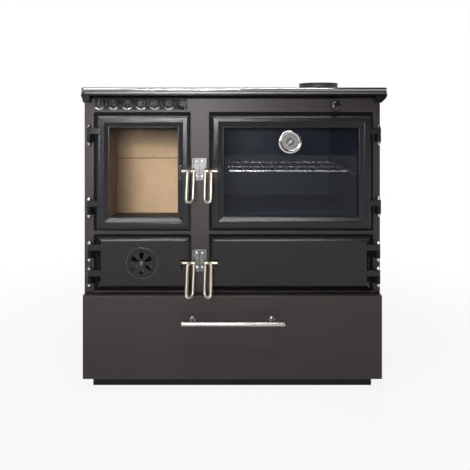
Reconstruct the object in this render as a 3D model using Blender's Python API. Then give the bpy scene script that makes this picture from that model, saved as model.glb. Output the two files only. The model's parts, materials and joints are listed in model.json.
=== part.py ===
# Wood stove with an oven: two glazed cast doors, an ash door, a soot door and a wide drawer.
# Metres, +Z up. The front looks along -Y, and +X is to the right as one stands before it.
# All sizes are set out from the floor and from the middle of the body's front face.
# The empty called stove then puts the origin under the middle of the whole stove.

import math

import bmesh
import bpy
from mathutils import Vector

# Body
BODY_DEPTH = 0.570
SHEET = 0.003
FRONT_PLATE = 0.004
INNER_FRAME = 0.006
GAP = 0.0003
OVERRUN = 0.002

# The front plate from left to right, which adds up to the body's width
LEFT_STILE = 0.0265
LEFT_OPENING = 0.272
MIDDLE_STILE = 0.054
RIGHT_OPENING = 0.4625
RIGHT_STILE = 0.020

# The front from the floor up, which adds up to the hob's height
PLINTH_HEIGHT = 0.041
DRAWER_SILL = 0.006
DRAWER_OPENING = 0.223
LOWER_BAND = 0.006
LOWER_OPENING = 0.160
CROSSBAR = 0.011
UPPER_OPENING = 0.3345
TOP_BAND = 0.0505
RAIL_HEIGHT = 0.018
DRAWER_STILE = 0.018

# Plinth
PLINTH_SIDE_SETBACK = 0.0195
PLINTH_END_SETBACK = 0.020
PLINTH_WALL = 0.004

# Hob
RAIL_THICKNESS = 0.010
FRONT_OVERHANG = 0.030
LEFT_OVERHANG = 0.004
RIGHT_OVERHANG = 0.014
HOB_PLATE = 0.014
LID_RADIUS = 0.095
LID_THICKNESS = 0.008
LID_LEDGE = 0.009
LID_SLOT_LENGTH = 0.022
LID_SLOT_WIDTH = 0.008

# Cornice
CORNICE_SETBACK = 0.003
CORNICE_HEIGHT = 0.0125
CORBEL_HEIGHT = 0.024
LEFT_CORBEL_WIDTH = 0.025
RIGHT_CORBEL_WIDTH = 0.0335

# Flue collar
COLLAR_FROM_RIGHT = 0.1005
COLLAR_FROM_BACK = 0.140
COLLAR_RADIUS = 0.06975
COLLAR_WALL = 0.0045
COLLAR_HEIGHT = 0.042
COLLAR_FLANGE_WIDTH = 0.009
COLLAR_FLANGE = 0.006

# Vent grille
GRILLE_LEFT_MARGIN = 0.003
GRILLE_RIGHT_MARGIN = 0.008
GRILLE_HEIGHT = 0.0315
GRILLE_ABOVE_OPENING = 0.0055
GRILLE_THICKNESS = 0.004
ROSETTE_PITCH = 0.0387
ROSETTE_FROM_END = 0.0135
ROSETTE_HOLE = 0.0085
SCALLOP_RADIUS = 0.0130
VENT_HEIGHT = 0.014

# Doors, with the margins that each leaves to the edges of its opening
DOOR_STANDOFF = 0.0006
FIRE_MARGINS = {"left": 0.011, "right": -0.001, "top": 0.0085, "bottom": 0.005}
OVEN_MARGINS = {"left": 0.006, "right": 0.0085, "top": 0.0085, "bottom": 0.0075}
ASH_MARGINS = {"left": 0.012, "right": -0.002, "top": 0.002, "bottom": 0.009}
SOOT_MARGINS = {"left": 0.003, "right": 0.0105, "top": 0.002, "bottom": 0.009}

# Cast frame of a glazed door: heights are in front of the body's face
BORDER = 0.035
EDGE_FRONT = 0.007
CHAMFER_WIDTH = 0.005
CHAMFER_FRONT = 0.017
CROWN_WIDTH = 0.010
CROWN_FRONT = 0.020
BAND_WIDTH = 0.019
BAND_FRONT = 0.018
SLOPE_WIDTH = 0.032
LIP_FRONT = 0.0085
GLASS = 0.004
GLASS_HOLD = 0.006
SEAL_INSET = 0.008
SEAL_WIDTH = 0.008
RETAINER_INSET = 0.024
RETAINER_WIDTH = 0.009
RETAINER_THICKNESS = 0.0022
FIRE_MOUTH_INSET = 0.030

# Cast plate of a lower door
FLANGE_WIDTH = 0.0055
FLANGE_FRONT = 0.009
FIELD_INSET = 0.012
FIELD_FRONT = 0.019
LOWER_MOUTH_INSET = 0.006

# Hinges
HINGE_REACH = 0.021
HINGE_FORWARD = 0.015
KNUCKLE_RADIUS = 0.0058
KNUCKLE_GRIP = 0.012
PIN_RADIUS = 0.0029
DOOR_KNUCKLE = 0.017
BODY_KNUCKLE = 0.022
NUT_RADIUS = 0.0046
NUT_HEIGHT = 0.010
UPPER_HINGE_FROM_TOP = 0.053
UPPER_HINGE_FROM_BOTTOM = 0.065
LOWER_HINGE_FROM_TOP = 0.039
LOWER_HINGE_FROM_BOTTOM = 0.0385

# Latch handles, set out from the middle of the stile between the doors
LOOP_FROM_STILE = 0.0247
POCKET_FROM_STILE = 0.0505
PIN_END_FROM_STILE = 0.012
PIN_SEAT = 0.006
POCKET_ABOVE = 0.012
POCKET_BELOW = 0.019
POCKET_FLOOR = 0.003
BOSS_WALL = 0.008
BOSS_RIM = 0.006
BOSS_FRONT = 0.0175
LATCH_FORWARD = 0.011
ROD_RADIUS = 0.0042
LOOP_LENGTH = 0.095
LOOP_HALF_WIDTH = 0.00875
LOOP_HALF_DEPTH = 0.0054
LOOP_LEAN = math.radians(34)
UPPER_LATCH_DROP = 0.1655
LOWER_LATCH_DROP = 0.0773

# Catch plates
CATCH_SPLIT = 0.0008
CATCH_WIDTH = 0.0195
CATCH_FOOT_WIDTH = 0.0125
CATCH_SHEET = 0.003
CHEEK_REACH = 0.0125
CHEEK_CLEARANCE = 0.0073
CATCH_ABOVE = 0.036
CATCH_BELOW = 0.027

# Air spinner in the ash door
SPINNER_FROM_LEFT = 0.126
SPINNER_FROM_TOP = 0.074
SPINNER_RADIUS = 0.036
SPINNER_RING_WIDTH = 0.0065
SPINNER_RING_HEIGHT = 0.003
SPINNER_THICKNESS = 0.0028
SPINNER_HUB_RADIUS = 0.0075
SPINNER_HUB_HEIGHT = 0.003
SPINNER_HOLES = 6
SPINNER_HOLE_INNER = 0.012
SPINNER_HOLE_OUTER = 0.031
SPINNER_HOLE_ANGLE = math.radians(27)

# Thermometer
THERMOMETER_FROM_LEFT = 0.221
THERMOMETER_FROM_TOP = 0.075
THERMOMETER_RADIUS = 0.034
THERMOMETER_BEZEL = 0.006
THERMOMETER_DEPTH = 0.010
THERMOMETER_DISH = 0.003
STEM_RADIUS = 0.005
STEM_LENGTH = 0.022
STEM_NUT_RADIUS = 0.009
STEM_NUT = 0.004
NEEDLE_LENGTH = 0.022
NEEDLE_TAIL = 0.009
NEEDLE_WIDTH = 0.0028
NEEDLE_THICKNESS = 0.001
NEEDLE_HUB_RADIUS = 0.0035
NEEDLE_COLD = math.radians(-135)

# Drawer
DRAWER_DEPTH = 0.0294
DRAWER_TOP_DROP = 0.003
DRAWER_FOOT = 0.0005
DRAWER_SIDE_SETBACK = 0.0025
DRAWER_EDGE_RADIUS = 0.002
DRAWER_LIP = 0.045
DRAWER_LIP_HEIGHT = 0.030
DRAWER_SIDE_CLEARANCE = 0.0145
DRAWER_BOX_DEPTH = 0.520
DRAWER_BOX_TOP_CLEARANCE = 0.020
DRAWER_BOX_SHEET = 0.002
RUNNER_WIDTH = 0.038
RUNNER_HEIGHT = 0.010
BAR_LENGTH = 0.281
BAR_RADIUS = 0.006
BAR_STANDOFF = 0.0365
BAR_DROP = 0.064
BAR_OFFSET = 0.002
POST_SPACING = 0.220
POST_RADIUS = 0.005
POST_FOOT_RADIUS = 0.0075
POST_FOOT = 0.003

# Firebox
BRICK_SIDE = 0.038
BRICK_BACK = 0.032
FIREBOX_DEPTH = 0.220
LOWER_COURSE = 0.178
FLOOR_THICKNESS = 0.012
FLOOR_ABOVE_OPENING = 0.008
FLOOR_MARGIN = 0.010
GRATE_WIDTH = 0.150
GRATE_DEPTH = 0.140
GRATE_THICKNESS = 0.006
GRATE_LEDGE = 0.008
GRATE_SLOTS = 6
GRATE_RIM = 0.012
GRATE_BAR = 0.010

# Ash pan
PAN_SIDE_CLEARANCE = 0.018
PAN_FRONT = 0.020
PAN_DEPTH = 0.400
PAN_HEIGHT = 0.060
PAN_SHEET = 0.002
RIB_HEIGHT = 0.0165
RIB_WIDTH = 0.010
RIB_FROM_PAN_EDGE = 0.015

# Oven
OVEN_LEFT_INSET = 0.031
OVEN_RIGHT_INSET = 0.037
OVEN_END_INSET = 0.030
OVEN_DEPTH = 0.400
OVEN_SHEET = 0.003
RACK_ABOVE_FLOOR = 0.1285
RACK_FRONT = 0.020
RACK_DEPTH = 0.294
RACK_LEFT_CLEARANCE = 0.006
RACK_RIGHT_CLEARANCE = 0.009
RACK_MIDDLE_RAIL = 0.134
RACK_RAIL_RADIUS = 0.003
RACK_WIRE_RADIUS = 0.002
RACK_END_GAP = 0.020
RACK_WIRE_PITCH = 0.032
RUNNER_RIB_WIDTH = 0.015
RUNNER_RIB_HEIGHT = 0.006

# Damper
DAMPER_FROM_RIGHT = 0.1315
DAMPER_BELOW_HOB = 0.033
DAMPER_KNOB_RADIUS = 0.016
DAMPER_KNOB_LENGTH = 0.026
DAMPER_KNOB_STANDOFF = 0.010
DAMPER_ROD_RADIUS = 0.004
DAMPER_DISC_RADIUS = 0.029
DAMPER_DISC = 0.003
DAMPER_HOLE_RADIUS = 0.025
COLLAR_TO_PARTITION = 0.078

# Sides of the round pieces
FEW_SIDES = 10
SOME_SIDES = 16
MANY_SIDES = 32

# Places that follow from the sizes
BODY_WIDTH = LEFT_STILE + LEFT_OPENING + MIDDLE_STILE + RIGHT_OPENING + RIGHT_STILE
LEFT = -BODY_WIDTH / 2
RIGHT = BODY_WIDTH / 2
DRAWER_OPENING_TOP = PLINTH_HEIGHT + DRAWER_SILL + DRAWER_OPENING
LOWER_BOTTOM = DRAWER_OPENING_TOP + LOWER_BAND
LOWER_TOP = LOWER_BOTTOM + LOWER_OPENING
UPPER_BOTTOM = LOWER_TOP + CROSSBAR
UPPER_TOP = UPPER_BOTTOM + UPPER_OPENING
HOB_UNDERSIDE = UPPER_TOP + TOP_BAND
HOB_TOP = HOB_UNDERSIDE + HOB_PLATE
COLLAR_X = RIGHT - COLLAR_FROM_RIGHT
COLLAR_Y = BODY_DEPTH - COLLAR_FROM_BACK
DAMPER_X = RIGHT - DAMPER_FROM_RIGHT
PARTITION_Y = COLLAR_Y - COLLAR_TO_PARTITION
STILE_LEFT = LEFT + LEFT_STILE + LEFT_OPENING
STILE_RIGHT = STILE_LEFT + MIDDLE_STILE
STILE_MIDDLE = STILE_LEFT + MIDDLE_STILE / 2
INNER_WIDTH = BODY_WIDTH - 2 * (SHEET + GAP)
FRAME_BACK = FRONT_PLATE + GAP + INNER_FRAME
BACK_INSIDE = BODY_DEPTH - SHEET
SHELF_TOP = LOWER_BOTTOM
FIRE_FLOOR = UPPER_BOTTOM + FLOOR_ABOVE_OPENING
BASE_TOP = PLINTH_HEIGHT + SHEET
FRONT_REACH = DOOR_STANDOFF + DRAWER_DEPTH + BAR_STANDOFF + BAR_RADIUS
MIDDLE_X = (RIGHT_OVERHANG - LEFT_OVERHANG) / 2
MIDDLE_Y = (BODY_DEPTH - FRONT_REACH) / 2


def door_edges(left, right, bottom, top, margins):
    return {
        "left": left + margins["left"],
        "right": right - margins["right"],
        "bottom": bottom + margins["bottom"],
        "top": top - margins["top"],
    }


FIRE_DOOR = door_edges(LEFT + LEFT_STILE, STILE_LEFT, UPPER_BOTTOM, UPPER_TOP, FIRE_MARGINS)
OVEN_DOOR = door_edges(STILE_RIGHT, RIGHT - RIGHT_STILE, UPPER_BOTTOM, UPPER_TOP, OVEN_MARGINS)
ASH_DOOR = door_edges(LEFT + LEFT_STILE, STILE_LEFT, LOWER_BOTTOM, LOWER_TOP, ASH_MARGINS)
SOOT_DOOR = door_edges(STILE_RIGHT, RIGHT - RIGHT_STILE, LOWER_BOTTOM, LOWER_TOP, SOOT_MARGINS)

UPPER_LATCH = UPPER_TOP - UPPER_LATCH_DROP
LOWER_LATCH = LOWER_TOP - LOWER_LATCH_DROP
SPINNER_X = ASH_DOOR["left"] + SPINNER_FROM_LEFT
SPINNER_Z = ASH_DOOR["top"] - SPINNER_FROM_TOP
THERMOMETER_X = OVEN_DOOR["left"] + THERMOMETER_FROM_LEFT
THERMOMETER_Z = OVEN_DOOR["top"] - THERMOMETER_FROM_TOP
DAMPER_Z = HOB_UNDERSIDE - DAMPER_BELOW_HOB
DRAWER_TOP = LOWER_BOTTOM - DRAWER_TOP_DROP
DRAWER_BOTTOM = PLINTH_HEIGHT + DRAWER_FOOT
BAR_Z = DRAWER_TOP - BAR_DROP
BAR_Y = -(DOOR_STANDOFF + DRAWER_DEPTH + BAR_STANDOFF)

# Left side faces +1, right side faces -1: the way from the hinge to the free edge
HINGE_SIDES = {"fire": 1, "oven": -1, "ash": 1, "soot": -1}
DOORS = {"fire": FIRE_DOOR, "oven": OVEN_DOOR, "ash": ASH_DOOR, "soot": SOOT_DOOR}
LATCH_HEIGHTS = {"fire": UPPER_LATCH, "oven": UPPER_LATCH, "ash": LOWER_LATCH, "soot": LOWER_LATCH}
UPPER_DOORS = ("fire", "oven")


def hinge_x(door):
    if HINGE_SIDES[door] > 0:
        return DOORS[door]["left"] - HINGE_REACH
    return DOORS[door]["right"] + HINGE_REACH


def hinge_splits(door):
    """Heights at which the two door knuckles of a door sit on their body lugs."""
    if door in UPPER_DOORS:
        return DOORS[door]["top"] - UPPER_HINGE_FROM_TOP, DOORS[door]["bottom"] + UPPER_HINGE_FROM_BOTTOM
    return DOORS[door]["top"] - LOWER_HINGE_FROM_TOP, DOORS[door]["bottom"] + LOWER_HINGE_FROM_BOTTOM


OVEN_LEFT = OVEN_DOOR["left"] + OVEN_LEFT_INSET
OVEN_RIGHT = OVEN_DOOR["right"] - OVEN_RIGHT_INSET
OVEN_FLOOR = OVEN_DOOR["bottom"] + OVEN_END_INSET
OVEN_CEILING = OVEN_DOOR["top"] - OVEN_END_INSET
PASSAGE_FLOOR = OVEN_CEILING + OVEN_SHEET
RACK_Z = OVEN_FLOOR + RACK_ABOVE_FLOOR
PAN_LEFT = ASH_DOOR["left"] + LOWER_MOUTH_INSET + PAN_SIDE_CLEARANCE
PAN_RIGHT = ASH_DOOR["right"] - LOWER_MOUTH_INSET - PAN_SIDE_CLEARANCE
PAN_BOTTOM = SHELF_TOP + RIB_HEIGHT + GAP
DIVIDER_LEFT = STILE_MIDDLE - SHEET / 2
DIVIDER_RIGHT = STILE_MIDDLE + SHEET / 2
FIRE_LEFT = -INNER_WIDTH / 2 + BRICK_SIDE
FIRE_RIGHT = DIVIDER_LEFT - GAP - BRICK_SIDE
BRICKS_BACK = FRAME_BACK + FIREBOX_DEPTH + BRICK_BACK

# Each body: where its empty stands and the body that carries it
BODIES = {
    "stove": ((0, 0, 0), None),
    "fire_door": ((hinge_x("fire"), -HINGE_FORWARD, 0), "stove"),
    "oven_door": ((hinge_x("oven"), -HINGE_FORWARD, 0), "stove"),
    "ash_door": ((hinge_x("ash"), -HINGE_FORWARD, 0), "stove"),
    "soot_door": ((hinge_x("soot"), -HINGE_FORWARD, 0), "stove"),
    "fire_handle": ((STILE_MIDDLE - LOOP_FROM_STILE, -LATCH_FORWARD, UPPER_LATCH), "fire_door"),
    "oven_handle": ((STILE_MIDDLE + LOOP_FROM_STILE, -LATCH_FORWARD, UPPER_LATCH), "oven_door"),
    "ash_handle": ((STILE_MIDDLE - LOOP_FROM_STILE, -LATCH_FORWARD, LOWER_LATCH), "ash_door"),
    "soot_handle": ((STILE_MIDDLE + LOOP_FROM_STILE, -LATCH_FORWARD, LOWER_LATCH), "soot_door"),
    "spinner": ((SPINNER_X, -FIELD_FRONT, SPINNER_Z), "ash_door"),
    "needle": ((THERMOMETER_X, -LIP_FRONT, THERMOMETER_Z), "oven_door"),
    "drawer": ((0, 0, 0), "stove"),
    "damper": ((DAMPER_X, 0, DAMPER_Z), "stove"),
    "rack": (((OVEN_LEFT + OVEN_RIGHT) / 2, RACK_FRONT, RACK_Z), "stove"),
    "ash_pan": (((PAN_LEFT + PAN_RIGHT) / 2, PAN_FRONT, PAN_BOTTOM), "stove"),
}

# Finishes: base colour, roughness, metallic
FINISHES = {
    "body_enamel": ((0.115, 0.105, 0.102), 0.42, 0.0),
    "black_cast": ((0.035, 0.034, 0.038), 0.62, 0.0),
    "black_gloss": ((0.012, 0.012, 0.014), 0.30, 0.0),
    "bare_cast": ((0.060, 0.058, 0.058), 0.70, 0.4),
    "chrome": ((0.80, 0.80, 0.80), 0.12, 1.0),
    "bright_steel": ((0.62, 0.60, 0.57), 0.28, 1.0),
    "grey_sheet": ((0.20, 0.20, 0.21), 0.50, 0.8),
    "oven_enamel": ((0.030, 0.033, 0.045), 0.25, 0.0),
    "fire_brick": ((0.420, 0.280, 0.165), 0.95, 0.0),
    "glass": ((0.75, 0.78, 0.80), 0.03, 0.0),
    "seal_rope": ((0.16, 0.16, 0.16), 0.95, 0.0),
}


def material(finish):
    found = bpy.data.materials.get(finish)
    if found:
        return found
    colour, roughness, metallic = FINISHES[finish]
    made = bpy.data.materials.new(finish)
    made.use_nodes = True
    shader = made.node_tree.nodes["Principled BSDF"]
    shader.inputs["Base Color"].default_value = (*colour, 1)
    shader.inputs["Roughness"].default_value = roughness
    shader.inputs["Metallic"].default_value = metallic
    return made


# Shapes are pairs of points and faces, each a closed body or several of them

def lofted(rings, closed=False):
    """A skin over rings of equal counts, capped at its ends unless it closes on itself."""
    count = len(rings[0])
    points = [point for ring in rings for point in ring]
    faces = []
    for i in range(len(rings) if closed else len(rings) - 1):
        here = i * count
        there = (i + 1) % len(rings) * count
        for k in range(count):
            after = (k + 1) % count
            faces.append((here + k, here + after, there + after, there + k))
    if not closed:
        faces.append(tuple(range(count)))
        faces.append(tuple(range(len(points) - count, len(points))))
    return points, faces


def together(*shapes):
    points = []
    faces = []
    for more_points, more_faces in shapes:
        start = len(points)
        points += more_points
        faces += [tuple(start + k for k in face) for face in more_faces]
    return points, faces


def placed(a, b, t, along):
    """A point given in the plane across an axis and its distance along that axis."""
    return {"X": (t, a, b), "Y": (a, t, b), "Z": (a, b, t)}[along]


def prism(outline, along, ends):
    return lofted([[placed(a, b, t, along) for a, b in outline] for t in ends])


def corners(rect, inset=0):
    left, right, low, high = rect
    return [(left + inset, low + inset), (right - inset, low + inset),
            (right - inset, high - inset), (left + inset, high - inset)]


def block(xs, ys, zs):
    return prism(corners((*xs, *ys)), "Z", zs)


def circle(radius, centre, sides, start=0.0, turn=2 * math.pi):
    """Points on an arc, or on a whole circle, which has no last point over its first."""
    steps = sides if turn == 2 * math.pi else sides - 1
    angles = [start + turn * k / steps for k in range(sides)]
    return [(centre[0] + radius * math.cos(a), centre[1] + radius * math.sin(a)) for a in angles]


def turned(profile, along, centre, sides, hollow=False):
    """A profile of radius and distance along the axis, turned about it."""
    rings = [[placed(a, b, t, along) for a, b in circle(radius, centre, sides)] for radius, t in profile]
    return lofted(rings, closed=hollow)


def framed(edges, profile):
    """A mitred frame in the plane of the doors, its profile given as inset and Y."""
    rings = []
    for x, z, inward, upward in (("left", "bottom", 1, 1), ("right", "bottom", -1, 1),
                                 ("right", "top", -1, -1), ("left", "top", 1, -1)):
        rings.append([(edges[x] + inward * inset, y, edges[z] + upward * inset) for inset, y in profile])
    return lofted(rings, closed=True)


def stacked(edges, levels):
    """A plate in the plane of the doors, built up from insets at given Y."""
    rect = (edges["left"], edges["right"], edges["bottom"], edges["top"])
    return lofted([[(x, y, z) for x, z in corners(rect, inset)] for inset, y in levels])


def tray(rect, wall, along, closed_end, open_end, floor):
    """A thin box open at one end of an axis."""
    steps = ((0, closed_end), (0, open_end), (wall, open_end), (wall, floor))
    return lofted([[placed(a, b, t, along) for a, b in corners(rect, inset)] for inset, t in steps])


def edged(runs, profile):
    """A bar that follows corner points, its profile given as distance outwards and height."""
    rings = [[(x + dx * out, y + dy * out, z) for out, z in profile] for x, y, dx, dy in runs]
    return lofted(rings)


def tube(path, radius, sides, closed=False):
    """A round rod along a path, its rings kept from twisting."""
    points = [Vector(point) for point in path]
    count = len(points)
    rings = []
    across = None
    for i, point in enumerate(points):
        before = points[i - 1] if i or closed else point
        after = points[(i + 1) % count] if i + 1 < count or closed else point
        forward = (after - before).normalized()
        if across is None:
            across = forward.orthogonal().normalized()
        across = (across - forward * across.dot(forward)).normalized()
        up = forward.cross(across)
        rings.append([tuple(point + across * a + up * b) for a, b in circle(radius, (0, 0), sides)])
    return lofted(rings, closed=closed)


# Objects

EMPTIES = {}


def make_bodies():
    for name, (place, carrier) in BODIES.items():
        empty = bpy.data.objects.new(name + "_pivot", None)
        bpy.context.scene.collection.objects.link(empty)
        EMPTIES[name] = empty
        if carrier:
            empty.parent = EMPTIES[carrier]
            empty.location = Vector(place) - Vector(BODIES[carrier][0])
        else:
            empty.location = (-MIDDLE_X, -MIDDLE_Y, 0)


def mesh_object(name, shape, body):
    points, faces = shape
    pivot = Vector(BODIES[body][0])
    mesh = bpy.data.meshes.new(name)
    mesh.from_pydata([tuple(Vector(point) - pivot) for point in points], [], faces)
    skin = bmesh.new()
    skin.from_mesh(mesh)
    bmesh.ops.recalc_face_normals(skin, faces=skin.faces)
    skin.to_mesh(mesh)
    skin.free()
    made = bpy.data.objects.new(name, mesh)
    made.parent = EMPTIES[body]
    bpy.context.scene.collection.objects.link(made)
    return made


def part(name, shape, finish, body="stove"):
    made = mesh_object(name, shape, body)
    made.data.materials.append(material(finish))
    made.data.shade_smooth()
    made.data.set_sharp_from_angle(angle=math.radians(40))
    made["body"] = body
    return made


def altered(piece, shape, operation):
    helper = mesh_object(f"{piece.name}_{operation.lower()}_{len(piece.modifiers)}", shape, piece["body"])
    helper.hide_render = True
    helper.display_type = "WIRE"
    change = piece.modifiers.new(operation.lower(), "BOOLEAN")
    change.object = helper
    change.operation = operation
    change.solver = "EXACT"


def cut(piece, shape):
    altered(piece, shape, "DIFFERENCE")


def fuse(piece, shape):
    altered(piece, shape, "UNION")


# Body shell

def make_plinth():
    side = BODY_WIDTH / 2 - PLINTH_SIDE_SETBACK
    rect = (-side, side, PLINTH_END_SETBACK, BODY_DEPTH - PLINTH_END_SETBACK)
    top = PLINTH_HEIGHT - GAP
    steps = ((0, 0), (0, top), (PLINTH_WALL, top), (PLINTH_WALL, 0))
    rings = [[(x, y, z) for x, y in corners(rect, inset)] for inset, z in steps]
    part("plinth", lofted(rings, closed=True), "black_cast")


def make_panels():
    side = (FRONT_PLATE + GAP, BACK_INSIDE - GAP)
    tall = (PLINTH_HEIGHT, HOB_UNDERSIDE - GAP)
    inner = INNER_WIDTH / 2
    part("side_panel_left", block((LEFT, LEFT + SHEET), side, tall), "body_enamel")
    part("side_panel_right", block((RIGHT - SHEET, RIGHT), side, tall), "body_enamel")
    part("back_panel", block((LEFT, RIGHT), (BACK_INSIDE, BODY_DEPTH), tall), "grey_sheet")
    part("base_panel", block((-inner, inner), side, (PLINTH_HEIGHT, BASE_TOP)), "grey_sheet")


def make_shelf():
    inner = INNER_WIDTH / 2
    low = SHELF_TOP - SHEET
    sheet = block((-inner, inner), (FRONT_PLATE + GAP, BACK_INSIDE - GAP), (low, SHELF_TOP))
    shelf = part("shelf", sheet, "grey_sheet")
    ribs = []
    for edge, way in ((PAN_LEFT, 1), (PAN_RIGHT, -1)):
        start = edge + way * RIB_FROM_PAN_EDGE
        xs = sorted((start, start + way * RIB_WIDTH))
        ys = (FRAME_BACK + GAP, PAN_FRONT + PAN_DEPTH)
        ribs.append(block(xs, ys, (SHELF_TOP - SHEET / 2, SHELF_TOP + RIB_HEIGHT)))
    fuse(shelf, together(*ribs))


def lug_outline(x, reach):
    """A round nose about the hinge axis that runs back to a given Y."""
    nose = circle(KNUCKLE_RADIUS, (x, -HINGE_FORWARD), FEW_SIDES, math.pi, math.pi)
    return nose + [(x + KNUCKLE_RADIUS, reach), (x - KNUCKLE_RADIUS, reach)]


def rosette_places():
    """X of the grille's rosettes, as many as its length takes."""
    first = LEFT + LEFT_STILE + GRILLE_LEFT_MARGIN + ROSETTE_FROM_END
    room = STILE_LEFT - GRILLE_RIGHT_MARGIN - ROSETTE_FROM_END - first
    return [first + ROSETTE_PITCH * k for k in range(round(room / ROSETTE_PITCH) + 1)]


def vent_slot(through):
    low = UPPER_TOP + GRILLE_ABOVE_OPENING + SCALLOP_RADIUS
    places = rosette_places()
    return block((places[0], places[-1]), through, (low, low + VENT_HEIGHT))


def rod_hole(through):
    return prism(circle(DAMPER_ROD_RADIUS + 2 * GAP, (DAMPER_X, DAMPER_Z), SOME_SIDES), "Y", through)


def make_front_plate():
    tall = (PLINTH_HEIGHT, HOB_UNDERSIDE - GAP)
    plate = part("front_plate", block((LEFT, RIGHT), (0, FRONT_PLATE), tall), "body_enamel")
    through = (-OVERRUN, FRONT_PLATE + OVERRUN)
    stile = BODY_WIDTH / 2 - DRAWER_STILE
    upper = (UPPER_BOTTOM, UPPER_TOP)
    lower = (LOWER_BOTTOM, LOWER_TOP)
    drawer = (PLINTH_HEIGHT + DRAWER_SILL, DRAWER_OPENING_TOP)
    left = (LEFT + LEFT_STILE, STILE_LEFT)
    right = (STILE_RIGHT, RIGHT - RIGHT_STILE)
    spots = ((left, upper), (left, lower), (right, upper), (right, lower), ((-stile, stile), drawer))
    openings = [block(xs, through, zs) for xs, zs in spots]
    cut(plate, together(*openings, vent_slot(through), rod_hole(through)))
    lugs = []
    bores = []
    for door in DOORS:
        x = hinge_x(door)
        for split in hinge_splits(door):
            lugs.append(prism(lug_outline(x, FRONT_PLATE / 2), "Z", (split - BODY_KNUCKLE, split)))
            bore = circle(PIN_RADIUS + 2 * GAP, (x, -HINGE_FORWARD), SOME_SIDES)
            bores.append(prism(bore, "Z", (split - BODY_KNUCKLE - OVERRUN, split + OVERRUN)))
    fuse(plate, together(*lugs))
    cut(plate, together(*bores))


def mouth(door, inset, through):
    edges = DOORS[door]
    xs = (edges["left"] + inset, edges["right"] - inset)
    return block(xs, through, (edges["bottom"] + inset, edges["top"] - inset))


def make_inner_frame():
    inner = INNER_WIDTH / 2
    ys = (FRONT_PLATE + GAP, FRAME_BACK)
    zs = (SHELF_TOP + GAP, HOB_UNDERSIDE - GAP)
    frame = part("inner_frame", block((-inner, inner), ys, zs), "bare_cast")
    through = (FRONT_PLATE - OVERRUN, FRAME_BACK + OVERRUN)
    cut(frame, together(
        mouth("fire", FIRE_MOUTH_INSET, through),
        block((OVEN_LEFT, OVEN_RIGHT), through, (OVEN_FLOOR, OVEN_CEILING)),
        mouth("ash", LOWER_MOUTH_INSET, through),
        mouth("soot", LOWER_MOUTH_INSET, through),
        vent_slot(through),
        rod_hole(through),
    ))


# Hob, cornice and flue

def rail_profile():
    """Outer edge of the hob: a plain band below, a groove, and a round roll above."""
    out_shares = (0, 0.9, 0.95, 0.8, 1.0, 1.0, 0.78, 0.4, 0)
    up_shares = (0, 0, 0.33, 0.42, 0.53, 0.78, 0.94, 1.0, 1.0)
    shares = zip(out_shares, up_shares)
    return [(RAIL_THICKNESS * out, HOB_UNDERSIDE + RAIL_HEIGHT * up) for out, up in shares]


def hob_corners(inset, back):
    """Corner runs round the left, front and right of the hob, each with its way outwards."""
    left = LEFT - LEFT_OVERHANG + inset
    right = RIGHT + RIGHT_OVERHANG - inset
    front = -FRONT_OVERHANG + inset
    return [(left, back, -1, 0), (left, front, -1, -1), (right, front, 1, -1), (right, back, 1, 0)]


def make_hob():
    inset = RAIL_THICKNESS + GAP
    xs = (LEFT - LEFT_OVERHANG + inset, RIGHT + RIGHT_OVERHANG - inset)
    ys = (-FRONT_OVERHANG + inset, BODY_DEPTH)
    plate = part("hob_plate", block(xs, ys, (HOB_UNDERSIDE, HOB_TOP)), "bare_cast")
    centre = ((FIRE_LEFT + FIRE_RIGHT) / 2, FRAME_BACK + FIREBOX_DEPTH / 2)
    flue = circle(COLLAR_RADIUS - COLLAR_WALL, (COLLAR_X, COLLAR_Y), MANY_SIDES)
    hole = circle(LID_RADIUS - LID_LEDGE, centre, MANY_SIDES)
    seat = circle(LID_RADIUS + GAP, centre, MANY_SIDES)
    through = (HOB_UNDERSIDE - OVERRUN, HOB_TOP + OVERRUN)
    cut(plate, together(prism(flue, "Z", through), prism(hole, "Z", through)))
    cut(plate, prism(seat, "Z", (HOB_TOP - LID_THICKNESS - GAP, HOB_TOP + OVERRUN)))
    disc = prism(circle(LID_RADIUS, centre, MANY_SIDES), "Z", (HOB_TOP - LID_THICKNESS, HOB_TOP))
    lid = part("hob_lid", disc, "bare_cast")
    slot_middle = centre[1] - LID_RADIUS / 2
    slot_x = (centre[0] - LID_SLOT_LENGTH / 2, centre[0] + LID_SLOT_LENGTH / 2)
    slot_y = (slot_middle - LID_SLOT_WIDTH / 2, slot_middle + LID_SLOT_WIDTH / 2)
    cut(lid, block(slot_x, slot_y, (HOB_TOP - LID_THICKNESS / 2, HOB_TOP + OVERRUN)))
    part("hob_rail", edged(hob_corners(RAIL_THICKNESS, BODY_DEPTH), rail_profile()), "chrome")


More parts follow.
